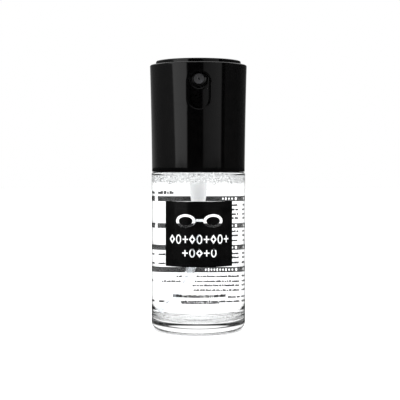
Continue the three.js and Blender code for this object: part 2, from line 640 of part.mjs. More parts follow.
function windowCutter() {
  const radius = WINDOW_WIDTH / 2;
  const middleZ = (WINDOW_TOP_Z + WINDOW_FOOT_Z) / 2;
  const straight = WINDOW_LENGTH / 2 - radius;
  const outline = new THREE.Shape();
  outline.absarc(0, straight, radius, 0, Math.PI, false);
  outline.absarc(0, -straight, radius, Math.PI, 2 * Math.PI, false);
  const depth = SLEEVE_RIM_RADIUS + CUT_OVERRUN - HEAD_RADIUS / 2;
  const curveSegments = 2 * ARC_STEPS;
  const cutter = new THREE.ExtrudeGeometry(outline, { depth, bevelEnabled: false, curveSegments });
  return cutter.rotateX(Math.PI / 2).translate(0, -HEAD_RADIUS / 2, middleZ);
}

// The rib inside the sleeve, behind the head, or the slot for it in the head, which is one stroke longer.
function guideRib(gap, topZ) {
  const inner = SLEEVE_BORE - GUIDE_DEPTH - gap;
  const outer = SLEEVE_BORE + SINK;
  const foot = HEAD_FOOT_Z - TRAVEL - (gap > 0 ? CUT_OVERRUN : 0);
  return box(0, (inner + outer) / 2, (foot + topZ) / 2, GUIDE_WIDTH + 2 * gap, outer - inner, topZ - foot);
}

// A plain tube outside, with a web to the collar that grips the closure.
function outerSleeve() {
  const collarBore = CLOSURE_RADIUS + SLIDE_GAP;
  const collarRadius = CLOSURE_RADIUS + KEY_HEIGHT + LOOSE_GAP + COLLAR_WALL;
  const collarFoot = SLEEVE_FOOT_Z + COLLAR_FROM_FOOT;
  const collarTop = Math.min(CLOSURE_WEB_Z, HEAD_FOOT_Z - TRAVEL) - 2 * SLEEVE_EDGE;
  const webFoot = SLEEVE_FOOT_Z + WEB_FROM_FOOT;
  const webTop = webFoot + WEB_THICKNESS;
  const outside = Array.from({ length: 2 * ARC_STEPS }, (_, i) => {
    const z = SLEEVE_FOOT_Z + ((SLEEVE_TOP_Z - SLEEVE_EDGE - SLEEVE_FOOT_Z) * i) / (2 * ARC_STEPS);
    return at(flare(z), z);
  });
  const profile = [
    at(SLEEVE_BORE, SLEEVE_FOOT_Z),
    ...outside,
    ...arc(SLEEVE_RIM_RADIUS - SLEEVE_EDGE, SLEEVE_TOP_Z - SLEEVE_EDGE, SLEEVE_EDGE, 0, 90),
    at(SLEEVE_BORE, SLEEVE_TOP_Z),
    at(SLEEVE_BORE, webTop),
    at(collarRadius, webTop),
    at(collarRadius, collarTop),
    at(collarBore, collarTop),
    at(collarBore, collarFoot),
    at(collarRadius, collarFoot),
    at(collarRadius, webFoot),
    at(SLEEVE_BORE, webFoot),
  ];
  const slots = aroundAxis(KEY_COUNT, () => closureKey(SLIDE_GAP));
  return shaped(turned(profile, OUTER_SEGMENTS), {
    joined: [guideRib(0, GUIDE_TOP_Z)],
    cut: [windowCutter(), ...slots],
  });
}

// ---- Head and nozzle ----

// A cylinder in front of the pump's axis, lying towards the front at the nozzle's height.
function frontCylinder(radius, from, to) {
  return facingFront(ring(radius, 0, from, to, NOZZLE_SEGMENTS));
}

// The button: a skirt with a dished top, the socket for the stem, ribs, and the boss that holds the nozzle.
function head() {
  const skirt = HEAD_RADIUS - HEAD_WALL;
  const dishRadius = HEAD_RADIUS - FINGER_DISH_MARGIN;
  const socketOuter = SOCKET_RADIUS + SOCKET_WALL;
  const roofZ = HEAD_TOP_Z - FINGER_DISH_DEPTH - HEAD_TOP;
  const dish = Array.from({ length: ARC_STEPS + 1 }, (_, i) => {
    const share = i / ARC_STEPS;
    return at(dishRadius * (1 - share), HEAD_TOP_Z - FINGER_DISH_DEPTH * Math.sin((Math.PI * share) / 2));
  });
  const profile = [
    at(0, roofZ),
    at(skirt, roofZ),
    at(skirt, HEAD_FOOT_Z),
    at(HEAD_RADIUS, HEAD_FOOT_Z),
    ...arc(HEAD_RADIUS - HEAD_EDGE, HEAD_TOP_Z - HEAD_EDGE, HEAD_EDGE, 0, 90),
    ...dish,
  ];
  const socket = ring(socketOuter, 0, SOCKET_Z, roofZ + SINK, INNER_SEGMENTS);
  const ribFoot = roofZ - HEAD_RIB_DEPTH;
  const ribLength = skirt + SINK;
  const ribs = aroundAxis(HEAD_RIBS, () =>
    box(0, ribLength / 2, (ribFoot + roofZ + SINK) / 2, HEAD_RIB_WIDTH, ribLength, roofZ + SINK - ribFoot),
  );
  const dishFloor = HEAD_RADIUS - NOZZLE_DISH_DEPTH;
  const insertBack = dishFloor + INSERT_PROUD - INSERT_LENGTH;
  const pocketBack = insertBack - LOOSE_GAP;
  const slope = (NOZZLE_DISH_RADIUS - NOZZLE_DISH_FLOOR) / NOZZLE_DISH_DEPTH;
  const nozzleDish = facingFront(
    turned(
      [
        at(0, dishFloor),
        at(NOZZLE_DISH_FLOOR, dishFloor),
        at(NOZZLE_DISH_RADIUS + slope * CUT_OVERRUN, HEAD_RADIUS + CUT_OVERRUN),
        at(0, HEAD_RADIUS + CUT_OVERRUN),
      ],
      NOZZLE_SEGMENTS,
    ),
  );
  // The insert's pocket leaves the core pin standing in its middle.
  const pocketTop = dishFloor + SINK;
  const pocket = facingFront(
    turned(
      [
        at(CORE_RADIUS, pocketBack),
        at(INSERT_RADIUS + PRESS_GAP, pocketBack),
        at(INSERT_RADIUS + PRESS_GAP, pocketTop),
        at(0, pocketTop),
        at(0, pocketBack + CORE_LENGTH),
        at(CORE_RADIUS, pocketBack + CORE_LENGTH),
      ],
      NOZZLE_SEGMENTS,
    ),
  );
  const channelTop = NOZZLE_Z + CHANNEL_OFFSET + CHANNEL_RADIUS;
  const channel = ring(CHANNEL_RADIUS, 0, 0, pocketBack + SEAT_GAP, 2 * ARC_STEPS);
  return shaped(turned(profile, OUTER_SEGMENTS), {
    joined: [socket, ...ribs, frontCylinder(NOZZLE_BOSS_RADIUS, 0, dishFloor + SINK)],
    cut: [
      ring(SOCKET_RADIUS, 0, SOCKET_Z - CUT_OVERRUN, STEM_TOP_Z + SEAT_GAP, INNER_SEGMENTS),
      ring(STEM_BORE, 0, STEM_TOP_Z, channelTop, INNER_SEGMENTS),
      facingFront(channel).translate(0, 0, CHANNEL_OFFSET),
      nozzleDish,
      pocket,
      guideRib(SLIDE_GAP * 2, GUIDE_TOP_Z + TRAVEL + STOP_GAP),
    ],
  });
}

// A cup pressed over the core pin, with the orifice in its face.
function nozzleInsert() {
  const face = HEAD_RADIUS - NOZZLE_DISH_DEPTH + INSERT_PROUD;
  const back = face - INSERT_LENGTH;
  const inside = CORE_RADIUS + PRESS_GAP;
  const coneFoot = face - INSERT_FACE / 2;
  const profile = [
    at(inside, back),
    at(INSERT_RADIUS, back),
    at(INSERT_RADIUS, face - INSERT_EDGE),
    at(INSERT_RADIUS - INSERT_EDGE, face),
    at(ORIFICE_CONE, face),
    at(ORIFICE_RADIUS, coneFoot),
    at(ORIFICE_RADIUS, face - INSERT_FACE),
    at(inside, face - INSERT_FACE),
  ];
  return facingFront(turned(profile, NOZZLE_SEGMENTS));
}

// ---- The assembly ----
const material = (color, roughness, metalness = 0) =>
  new THREE.MeshStandardMaterial({ color, roughness, metalness });
const clear = (color, opacity) =>
  new THREE.MeshStandardMaterial({ color, roughness: 0.05, metalness: 0, transparent: true, opacity });

const CLEAR_PLASTIC = clear(0xf4f8f9, 0.3);
const CLEAR_FLUID = clear(0xeef3f5, 0.35);
const CLEAR_FILM = clear(0x6e7274, 0.5);
const BLACK_INK = material(0x111112, 0.4);
const GLOSSY_BLACK = material(0x0b0b0c, 0.12);
const DARK_GREY = material(0x4a4c4e, 0.4);
const FROSTED_PLASTIC = material(0xe6eaeb, 0.5);
const WHITE_PLASTIC = material(0xf2f2f0, 0.45);
const GREY_RUBBER = material(0xc8cacb, 0.8);
const STEEL = material(0xb9bcc0, 0.25, 1);

function mesh(name, geometry, look) {
  const made = new THREE.Mesh(geometry, look);
  made.name = name;
  return made;
}

function assembly(...children) {
  const group = new THREE.Group();
  group.add(...children);
  return group;
}

const frontLabel = label(FRONT_LABEL_WIDTH, FRONT_LABEL_HEIGHT, FRONT_LABEL_Z, -90);
const backLabel = label(BACK_LABEL_WIDTH, BACK_LABEL_HEIGHT, BACK_LABEL_Z, 90);

const filledBottle = assembly(
  mesh("bottle", bottle(), CLEAR_PLASTIC),
  mesh("cleaning_fluid", cleaningFluid(), CLEAR_FLUID),
  mesh("front_label", frontLabel, BLACK_INK),
  mesh("back_label", backLabel, CLEAR_FILM),
);
const pump = assembly(
  mesh("neck_gasket", neckGasket(), GREY_RUBBER),
  mesh("pump_housing", pumpHousing(), FROSTED_PLASTIC),
  mesh("check_ball", checkBall(), STEEL),
  mesh("return_spring", returnSpring(), STEEL),
  mesh("plunger", plunger(), WHITE_PLASTIC),
  mesh("piston", piston(), WHITE_PLASTIC),
  mesh("pump_stem", pumpStem(), WHITE_PLASTIC),
  mesh("stem_retainer", stemRetainer(), WHITE_PLASTIC),
  mesh("dip_tube", dipTube(), FROSTED_PLASTIC),
);
const cap = assembly(
  mesh("screw_closure", screwClosure(), WHITE_PLASTIC),
  mesh("outer_sleeve", outerSleeve(), GLOSSY_BLACK),
);
const sprayHead = assembly(
  mesh("head", head(), GLOSSY_BLACK),
  mesh("nozzle_insert", nozzleInsert(), DARK_GREY),
);

export default assembly(filledBottle, pump, cap, sprayHead);
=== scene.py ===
# %% [markdown]
# # A lens cleaning spray
#
# A small clear bottle with a heavy base, its fluid, a fine-mist pump and a tall black sleeve with a window
# for the nozzle. The CAD frame gives the bodies and the main sizes. This file gives the pieces their fine
# shapes and their finishes. Lengths are in millimetres, as on a drawing, and turned into metres in a mesh.

# %% Load the frame
import math
import random

import bmesh
import bpy
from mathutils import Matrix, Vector, geometry


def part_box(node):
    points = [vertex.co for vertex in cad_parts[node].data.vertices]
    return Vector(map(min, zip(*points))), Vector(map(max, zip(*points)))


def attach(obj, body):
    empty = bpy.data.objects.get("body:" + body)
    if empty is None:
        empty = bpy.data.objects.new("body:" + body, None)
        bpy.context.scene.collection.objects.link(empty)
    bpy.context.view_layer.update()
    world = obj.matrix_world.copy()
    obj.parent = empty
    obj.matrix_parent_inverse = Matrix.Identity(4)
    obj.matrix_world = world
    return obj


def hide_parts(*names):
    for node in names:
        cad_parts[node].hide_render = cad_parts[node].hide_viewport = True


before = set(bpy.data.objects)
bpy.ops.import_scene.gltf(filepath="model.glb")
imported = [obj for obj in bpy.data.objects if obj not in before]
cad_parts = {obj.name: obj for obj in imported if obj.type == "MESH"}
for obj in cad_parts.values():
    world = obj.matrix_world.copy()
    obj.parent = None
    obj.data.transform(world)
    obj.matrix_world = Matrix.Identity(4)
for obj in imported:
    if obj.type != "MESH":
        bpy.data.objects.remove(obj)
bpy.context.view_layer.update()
MM = 0.001


def span(node):
    """The lowest and the highest corner of a CAD node, in millimetres."""
    low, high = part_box(node)
    return low / MM, high / MM


# %% [markdown]
# ## Camera
#
# A product shot like this is taken from far away with a long lens, level, a little above half height, so that
# the upright edges stay parallel. A level camera that should still show the base in frame is not tilted: its
# lens is shifted down, as on a view camera. The shift moves the frame only as far as the bottle needs.

# %% Make the camera
CAMERA_DISTANCE = 355
CAMERA_HEIGHT = 58.8
CAMERA_TURN = math.radians(-0.9)
LENS_LENGTH = 93.2
LENS_SHIFT = (0.0041, -0.1075)

lens = bpy.data.cameras.new("level_camera")
lens.sensor_width = 36
lens.lens = LENS_LENGTH
lens.shift_x, lens.shift_y = LENS_SHIFT
lens.clip_start = 0.01
camera = bpy.data.objects.new("level_camera", lens)
sideways, back = math.sin(CAMERA_TURN), math.cos(CAMERA_TURN)
camera.location = Vector((CAMERA_DISTANCE * sideways, -CAMERA_DISTANCE * back, CAMERA_HEIGHT)) * MM
camera.rotation_euler = (math.pi / 2, 0, CAMERA_TURN)
bpy.context.scene.collection.objects.link(camera)
bpy.context.scene.camera = camera
print("camera at", tuple(round(v, 4) for v in camera.location), "lens", lens.lens)

# %% [markdown]
# ## A light tent
#
# Clear and glossy things are shot in a tent: white all round, so that the clear wall is bright, with a few
# upright strips and black flags that draw the shine on the black plastic. Lamps with soft boxes could stand
# for it, but they are grainy when seen through refracting walls. Here the world itself is the tent.
# Its colour is a function of direction: bright behind the bottle for light that passes through it, darker at
# the sides so that the wall gets its grey edges, and a ramp of strips round the horizon for reflections.

# %% Node helpers
def add(nodes, kind, **settings):
    """Adds a node and sets its properties."""
    node = nodes.new(kind)
    for key, value in settings.items():
        setattr(node, key, value)
    return node


def wire(tree, source, target):
    tree.links.new(source, target)


def math_node(tree, operation, a, b=None, clamp=False):
    """A Math node whose inputs are numbers or sockets. Returns its output."""
    node = add(tree.nodes, "ShaderNodeMath", operation=operation, use_clamp=clamp)
    for socket, value in zip(node.inputs, (a, b)):
        if isinstance(value, (int, float)):
            socket.default_value = value
        elif value is not None:
            wire(tree, value, socket)
    return node.outputs[0]


def remap(tree, value, low, high, to_low=0.0, to_high=1.0, smooth=False):
    """Brings a value from one range to another, and holds it inside."""
    node = add(tree.nodes, "ShaderNodeMapRange", interpolation_type="SMOOTHSTEP" if smooth else "LINEAR")
    wire(tree, value, node.inputs["Value"])
    for socket, number in zip(("From Min", "From Max", "To Min", "To Max"), (low, high, to_low, to_high)):
        node.inputs[socket].default_value = number
    return node.outputs["Result"]


def blend_values(tree, factor, a, b):
    """Goes from a to b as the factor goes from 0 to 1. Each is a number or a socket."""
    node = add(tree.nodes, "ShaderNodeMix", data_type="FLOAT")
    for socket, value in zip((node.inputs[0], node.inputs[2], node.inputs[3]), (factor, a, b)):
        if isinstance(value, (int, float)):
            socket.default_value = value
        else:
            wire(tree, value, socket)
    return node.outputs[0]


def mix_tones(tree, factor, dark, light):
    """Goes from one colour to another. The factor is a socket, and dark is a colour or a socket."""
    node = add(tree.nodes, "ShaderNodeMix", data_type="RGBA")
    wire(tree, factor, node.inputs[0])
    if isinstance(dark, tuple):
        node.inputs[6].default_value = (*dark, 1)
    else:
        wire(tree, dark, node.inputs[6])
    node.inputs[7].default_value = (*light, 1)
    return node.outputs[2]


def grey(value):
    return (value, value, value)


def mirrored(tree, path):
    """1 for a ray that a surface has mirrored. A ray that went through a clear wall counts as glossy too, so
    those are taken off."""
    passed = math_node(tree, "SUBTRACT", 1.0, path.outputs["Is Transmission Ray"])
    return math_node(tree, "MULTIPLY", path.outputs["Is Glossy Ray"], passed)


# %% The tent's strips, as seen in the shine
# Each pair is a direction round the horizon, in degrees from the front towards the right, and a brightness.
STRIPS = [
    (-180, 0.2), (-150, 0.1), (-115, 0.11), (-71, 0.16), (-69, 0.88), (-31, 0.74), (-27, 0.0),
    (9.5, 0.0), (12, 0.16), (52, 0.3), (55, 0.3), (57, 0.0), (64, 0.0), (67, 0.055),
    (110, 0.03), (150, 0.05), (180, 0.3),
]
STRIP_POWER = 1.25
LEFT_EDGE = math.radians(-27)  # where the bright left strip ends
SLANT = 3.2  # how much that strip leans
SLANT_LEVEL = 0.088  # height of the direction in which it has its plain width
TENT = 1.3  # for light that falls on the pieces
BACKLIGHT, SIDES = 1.12, 0.62  # behind and beside the bottle, as seen through it
OVERHEAD = 0.3  # share of that which is left high up
BACKDROP, DARK_FRONT = 1.6, 0.12  # high up behind and in front, as seen in the shine
TOP_BOX = 0.9  # a box high up in front, which lights the top's edge

world = bpy.data.worlds.new("light_tent")
world.use_nodes = True
world.cycles.sampling_method = "NONE"
bpy.context.scene.world = world
tree = world.node_tree
background = tree.nodes["Background"]
way = add(tree.nodes, "ShaderNodeTexCoord")
parts = add(tree.nodes, "ShaderNodeSeparateXYZ")
wire(tree, way.outputs["Generated"], parts.inputs[0])
forward = math_node(tree, "MULTIPLY", parts.outputs["Y"], -1.0)
azimuth = math_node(tree, "ARCTAN2", parts.outputs["X"], forward)
ramp = add(tree.nodes, "ShaderNodeValToRGB")
# The left strip leans: its outer edge comes closer as the shine goes down the sleeve.
beyond = math_node(tree, "MINIMUM", math_node(tree, "SUBTRACT", azimuth, LEFT_EDGE), 0.0)
drop = math_node(tree, "SUBTRACT", SLANT_LEVEL, parts.outputs["Z"])
stretch = math_node(tree, "MULTIPLY", beyond, math_node(tree, "MULTIPLY", drop, SLANT))
lean = math_node(tree, "MULTIPLY", stretch, remap(tree, parts.outputs["Z"], 0.1, 0.3, 1, 0))
leaning = math_node(tree, "ADD", azimuth, lean)
wire(tree, remap(tree, leaning, -math.pi, math.pi), ramp.inputs[0])
stops = ramp.color_ramp.elements
while len(stops) < len(STRIPS):
    stops.new(0.5)
for stop, (angle, glow) in zip(stops, STRIPS):
    stop.position = angle / 360 + 0.5
    stop.color = (*grey(glow), 1)
high_up = remap(tree, parts.outputs["Z"], 0.2, 0.6, smooth=True)
behind = remap(tree, parts.outputs["Y"], 0.0, 0.6, DARK_FRONT, BACKDROP, smooth=True)
level_shine = math_node(tree, "MULTIPLY", ramp.outputs["Color"], STRIP_POWER)
ahead = remap(tree, parts.outputs["Y"], -0.75, -0.25, smooth=True)
across = remap(tree, math_node(tree, "ABSOLUTE", parts.outputs["X"]), 0.5, 0.7, TOP_BOX, 0.0, smooth=True)
raised = remap(tree, parts.outputs["Z"], 0.6, 0.7)
in_front = math_node(tree, "MULTIPLY", math_node(tree, "MULTIPLY", ahead, across), raised)
shine = blend_values(tree, high_up, level_shine, math_node(tree, "MAXIMUM", behind, in_front))
through = remap(tree, parts.outputs["Y"], -0.2, 0.6, SIDES, BACKLIGHT, smooth=True)
above = remap(tree, parts.outputs["Z"], 0.3, 0.75, 1, OVERHEAD, smooth=True)
through = math_node(tree, "MULTIPLY", through, above)
path = add(tree.nodes, "ShaderNodeLightPath")
seen = math_node(tree, "LESS_THAN", path.outputs["Diffuse Depth"], 0.5)
seen_through = math_node(tree, "MULTIPLY", path.outputs["Is Transmission Ray"], seen)
plain = blend_values(tree, seen_through, TENT, through)
plain = blend_values(tree, path.outputs["Is Camera Ray"], plain, 1.0)
wire(tree, blend_values(tree, mirrored(tree, path), plain, shine), background.inputs["Color"])
print("tent with", len(stops), "strips")

# %% [markdown]
# ## Table
#
# The bottle stands on a white board. The board is a plane that reaches far past the frame. It shows as white
# through the bottle, but as dark grey in the shine, since a bright board in front would wash out the black
# print.

# %% Make the board
BOARD = 1500
BOARD_GLOW = 0.3
BOARD_IN_SHINE = 0.03

bm = bmesh.new()
corners = [(-BOARD, -BOARD), (BOARD, -BOARD), (BOARD, BOARD), (-BOARD, BOARD)]
bm.faces.new([bm.verts.new((x * MM, y * MM, 0)) for x, y in corners])
board_mesh = bpy.data.meshes.new("white_board")
bm.to_mesh(board_mesh)
bm.free()
board = bpy.data.objects.new("white_board", board_mesh)
bpy.context.scene.collection.objects.link(board)
paper = bpy.data.materials.new("white_card")
paper.use_nodes = True
tree = paper.node_tree
card = tree.nodes["Principled BSDF"]
card.inputs["Roughness"].default_value = 0.7
card.inputs["Specular IOR Level"].default_value = 0.2
fibre = add(tree.nodes, "ShaderNodeTexNoise")
fibre.inputs["Scale"].default_value = 900
wire(tree, mix_tones(tree, fibre.outputs["Fac"], grey(0.93), grey(0.96)), card.inputs["Base Color"])
glow = add(tree.nodes, "ShaderNodeEmission")
glow.inputs["Strength"].default_value = BOARD_GLOW
lit = add(tree.nodes, "ShaderNodeAddShader")
wire(tree, card.outputs[0], lit.inputs[0])
wire(tree, glow.outputs[0], lit.inputs[1])
dim = add(tree.nodes, "ShaderNodeEmission")
dim.inputs["Color"].default_value = (*grey(BOARD_IN_SHINE), 1)
choose = add(tree.nodes, "ShaderNodeMixShader")
wire(tree, mirrored(tree, add(tree.nodes, "ShaderNodeLightPath")), choose.inputs[0])
wire(tree, lit.outputs[0], choose.inputs[1])
wire(tree, dim.outputs[0], choose.inputs[2])
wire(tree, choose.outputs[0], tree.nodes["Material Output"].inputs["Surface"])
board.data.materials.append(paper)
# Light goes in and out of wall, fluid, tube and bubbles many times before it leaves.
bpy.context.scene.cycles.max_bounces = 32
bpy.context.scene.cycles.transmission_bounces = 28
bpy.context.scene.cycles.glossy_bounces = 12
bpy.context.scene.cycles.blur_glossy = 0
bpy.context.scene.view_settings.view_transform = "Standard"
print("board", 2 * BOARD, "mm wide")

# %% [markdown]
# ## Effects that several finishes share
#
# Moulded plastic is never quite flat: the tool leaves a slow ripple and a fine grain, and the colour has a
# faint mottle. Handling adds smudges and hairline scratches, and corners get polished. Each effect is a node
# group, made once and used with other values in each material. The groups work in the object's own space, so
# that the pattern stays on the piece when it moves.

# %% Shared effects
def new_group(name, inputs, outputs):
    """An empty node group. Its inputs are a dictionary of names and usual values."""
    group = bpy.data.node_groups.new(name, "ShaderNodeTree")
    for label, value in inputs.items():
        group.interface.new_socket(label, in_out="INPUT", socket_type="NodeSocketFloat").default_value = value
    for label in outputs:
        group.interface.new_socket(label, in_out="OUTPUT", socket_type="NodeSocketFloat")
    return group, add(group.nodes, "NodeGroupInput"), add(group.nodes, "NodeGroupOutput")


def noise(tree, scale, detail=2.0, stretch=(1, 1, 1), distortion=0.0):
    """Noise in the object's own space. Scale is in features per metre, a number or a socket."""
    place = add(tree.nodes, "ShaderNodeTexCoord")
    stretched = add(tree.nodes, "ShaderNodeMapping")
    stretched.inputs["Scale"].default_value = stretch
    wire(tree, place.outputs["Object"], stretched.inputs["Vector"])
    node = add(tree.nodes, "ShaderNodeTexNoise")
    wire(tree, stretched.outputs[0], node.inputs["Vector"])
    node.inputs["Detail"].default_value = detail
    node.inputs["Distortion"].default_value = distortion
    if isinstance(scale, (int, float)):
        node.inputs["Scale"].default_value = scale
    else:
        wire(tree, scale, node.inputs["Scale"])
    return node.outputs["Fac"]


moulded_skin, enter, leave = new_group(
    "moulded_skin", {"Ripple": 1.0, "Grain": 0.3, "Grain scale": 6000.0}, ["Height", "Mottle"]
)
slow = math_node(moulded_skin, "MULTIPLY", noise(moulded_skin, 110), enter.outputs["Ripple"])
fine = math_node(
    moulded_skin, "MULTIPLY", noise(moulded_skin, enter.outputs["Grain scale"], 3.0), enter.outputs["Grain"]
)
wire(moulded_skin, math_node(moulded_skin, "ADD", slow, fine), leave.inputs["Height"])
wire(moulded_skin, remap(moulded_skin, noise(moulded_skin, 420, 4.0), 0.3, 0.7), leave.inputs["Mottle"])

handling_marks, enter, leave = new_group(
    "handling_marks", {"Smudges": 0.05, "Scratches": 0.05}, ["Roughness"]
)
smudge = remap(handling_marks, noise(handling_marks, 75, 3.0, distortion=0.8), 0.52, 0.72, smooth=True)
ridges = remap(handling_marks, noise(handling_marks, 2600, 1.0, (1, 1, 0.35), 2.0), 0.35, 0.65)
print_mark = math_node(handling_marks, "MULTIPLY", smudge, ridges)
hairs = remap(handling_marks, noise(handling_marks, 900, 1.0, (1, 1, 0.03)), 0.64, 0.68)
rubs = remap(handling_marks, noise(handling_marks, 700, 1.0, (0.05, 0.05, 1)), 0.66, 0.70)
lines = math_node(handling_marks, "MAXIMUM", hairs, rubs)
smudged = math_node(handling_marks, "MULTIPLY", print_mark, enter.outputs["Smudges"])
scratched = math_node(handling_marks, "MULTIPLY", lines, enter.outputs["Scratches"])
wire(handling_marks, math_node(handling_marks, "ADD", smudged, scratched), leave.inputs["Roughness"])

polished_edge, enter, leave = new_group("polished_edge", {"Width": 0.05}, ["Mask"])
FLAT_POINTINESS = 0.56  # a flat or gently turned surface stays below this
form = add(polished_edge.nodes, "ShaderNodeNewGeometry")
sharper = math_node(polished_edge, "SUBTRACT", form.outputs["Pointiness"], FLAT_POINTINESS)
worn = math_node(polished_edge, "DIVIDE", sharper, enter.outputs["Width"], clamp=True)
broken = remap(polished_edge, noise(polished_edge, 1500, 3.0), 0.35, 0.6)
wire(polished_edge, math_node(polished_edge, "MULTIPLY", worn, broken), leave.inputs["Mask"])
print("shared effects:", [g.name for g in bpy.data.node_groups])

# %% [markdown]
# ## Finishes
#
# One function makes a finish from a pair of tones, a roughness and the amounts of ripple, grain and marks.
# The numbers that are the same all over a piece are set on the shader itself. The fluid reaches a hair into
# the wall, and the true mirror strength there would be too high, so both clear finishes mirror less.

# %% Finishes
EDGE_WIDTH = 0.06


def use_group(tree, group, **values):
    node = add(tree.nodes, "ShaderNodeGroup", node_tree=group)
    for label, value in values.items():
        node.inputs[label.replace("_", " ")].default_value = value
    return node


def finish(name, dark, light, rough, ripple=1.0, grain=0.3, grain_scale=6000.0, smudges=0.05,
           scratches=0.05, bump=0.02, edge=0.0, ior=1.5, **plain):
    """A mottled tone, roughness with handling marks, and a bump from ripple and grain in millimetres."""
    made = bpy.data.materials.new(name)
    made.use_nodes = True
    tree = made.node_tree
    shader = tree.nodes["Principled BSDF"]
    skin = use_group(tree, moulded_skin, Ripple=ripple, Grain=grain, Grain_scale=grain_scale)
    marks = use_group(tree, handling_marks, Smudges=smudges, Scratches=scratches)
    colour = mix_tones(tree, skin.outputs["Mottle"], dark, light)
    roughness = math_node(tree, "ADD", marks.outputs["Roughness"], rough)
    if edge > 0:
        corner = use_group(tree, polished_edge, Width=EDGE_WIDTH)
        rubbed = math_node(tree, "MULTIPLY", corner.outputs["Mask"], edge)
        colour = mix_tones(tree, rubbed, colour, tuple(min(1, 3 * v + 0.02) for v in light))
    wire(tree, colour, shader.inputs["Base Color"])
    wire(tree, roughness, shader.inputs["Roughness"])
    relief = add(tree.nodes, "ShaderNodeBump")
    relief.inputs["Distance"].default_value = bump * MM
    wire(tree, skin.outputs["Height"], relief.inputs["Height"])
    wire(tree, relief.outputs[0], shader.inputs["Normal"])
    shader.inputs["IOR"].default_value = ior
    for socket, value in plain.items():
        shader.inputs[socket.replace("_", " ")].default_value = value
    return made


clear_plastic = finish(
    "clear_plastic", (0.985, 0.99, 0.99), grey(1.0), 0.0, grain=0.0, smudges=0.012, scratches=0.01,
    bump=0.004, ior=1.57, Transmission_Weight=1.0, Specular_Tint=(0.2, 0.2, 0.2, 1)
)
clear_fluid = finish(
    "clear_fluid", (0.985, 0.992, 0.995), grey(1.0), 0.0, ripple=0.3, grain=0.0, smudges=0.0,
    scratches=0.0, bump=0.001, ior=1.333, Transmission_Weight=1.0, Specular_Tint=(0.1, 0.1, 0.1, 1)
)
glossy_black = finish(
    "glossy_black", (0.0006, 0.0006, 0.0007), (0.0014, 0.0013, 0.0013), 0.07, grain=0.02,
    scratches=0.03, bump=0.012, edge=0.4
)
black_ink = finish(
    "black_ink", grey(0.001), grey(0.003), 0.13, ripple=0.2, grain=0.25, grain_scale=9000.0,
    scratches=0.04, bump=0.002
)
grey_ink = finish(
    "grey_ink", grey(0.012), grey(0.022), 0.3, ripple=0.2, grain=0.4, grain_scale=9000.0, bump=0.002
)
dark_grey_plastic = finish(
    "dark_grey_plastic", grey(0.04), (0.055, 0.055, 0.062), 0.38, ripple=0.6, grain=0.5, bump=0.012, edge=0.3
)
white_plastic = finish(
    "white_plastic", (0.84, 0.84, 0.82), (0.9, 0.9, 0.88), 0.38, grain=0.4, bump=0.015, edge=0.2
)
grey_rubber = finish(
    "grey_rubber", grey(0.5), grey(0.58), 0.75, ripple=0.5, grain=1.0, grain_scale=3500.0
)
frosted_plastic = finish(
    "frosted_plastic", (0.93, 0.94, 0.95), grey(0.99), 0.5, ripple=1.5, grain=0.5, smudges=0.1,
    ior=1.12, Transmission_Weight=0.15
)
clear_tube = finish(
    "clear_tube", (0.95, 0.975, 1.0), (0.985, 0.995, 1.0), 0.05, ripple=1.5, grain=0.2,
    bump=0.004, ior=1.02, Transmission_Weight=0.8
)
stainless_steel = finish(
    "stainless_steel", (0.55, 0.56, 0.58), (0.66, 0.67, 0.69), 0.22, ripple=0.2, grain=0.6,
    grain_scale=4000.0, smudges=0.1, scratches=0.15, bump=0.006, Metallic=1.0
)
print("finishes:", [m.name for m in bpy.data.materials if m.use_nodes])

# %% [markdown]
# ## Tools for turned pieces
#
# Almost everything here is turned: one outline swept round the axis. A screw modifier could do it, but pieces
# with a window need to know their own rings of points, so the rings are made one by one. An outline is a list
# of corners, each with a fillet radius, because that is how a drawing gives it.

# %% Outlines and turned pieces
CORNER_STEPS = 7
HOLD = 0.12


def rounded(corners):
    """An open outline of (radius, height, fillet) corners as a list of points, with an arc in each corner."""
    points = []
    for i, (r, z, fillet) in enumerate(corners):
        here = Vector((r, z))
        if fillet == 0 or i in (0, len(corners) - 1):
            points.append(here)
            continue
        back = Vector(corners[i - 1][:2]) - here
        ahead = Vector(corners[i + 1][:2]) - here
        half = back.angle(ahead) / 2
        reach = fillet / math.tan(half)
        start, end = here + back.normalized() * reach, here + ahead.normalized() * reach
        centre = here + (back.normalized() + ahead.normalized()).normalized() * fillet / math.sin(half)
        for step in range(CORNER_STEPS + 1):
            turn = (start - centre).angle_signed(end - centre) * step / CORNER_STEPS
            arm = start - centre
            c, s = math.cos(-turn), math.sin(-turn)
            points.append(centre + Vector((arm.x * c - arm.y * s, arm.x * s + arm.y * c)))
    return held(points)


def held(points):
    """Adds a point close to each end of every long straight stretch. Smooth shading then turns only beside
    the corners, and the stretch between them stays truly flat, which clear walls need to show things in
    place."""
    close = [points[0]]
    for a, b in zip(points, points[1:]):
        length = (b - a).length
        if length > 6 * HOLD:
            close += [a.lerp(b, HOLD / length), b.lerp(a, HOLD / length)]
        close.append(b)
    return close


def round_angles(count):
    """Evenly spaced angles, one for each column of a turned piece."""
    return [2 * math.pi * i / count for i in range(count)]


def ring(bm, angles, r, z):
    """Points round the axis. Angle 0 is the front. A radius of 0 gives one point on the axis."""
    if r < 1e-6:
        return [bm.verts.new((0, 0, z * MM))]
    return [bm.verts.new((r * math.sin(a) * MM, -r * math.cos(a) * MM, z * MM)) for a in angles]


def bridge(bm, a, b):
    """Faces between two rings, or between a ring and one point."""
    count = max(len(a), len(b))
    for k in range(count):
        n = (k + 1) % count
        loop = [a[k % len(a)], a[n % len(a)], b[n % len(b)], b[k % len(b)]]
        unique = list(dict.fromkeys(loop))
        if len(unique) > 2:
            bm.faces.new(unique)


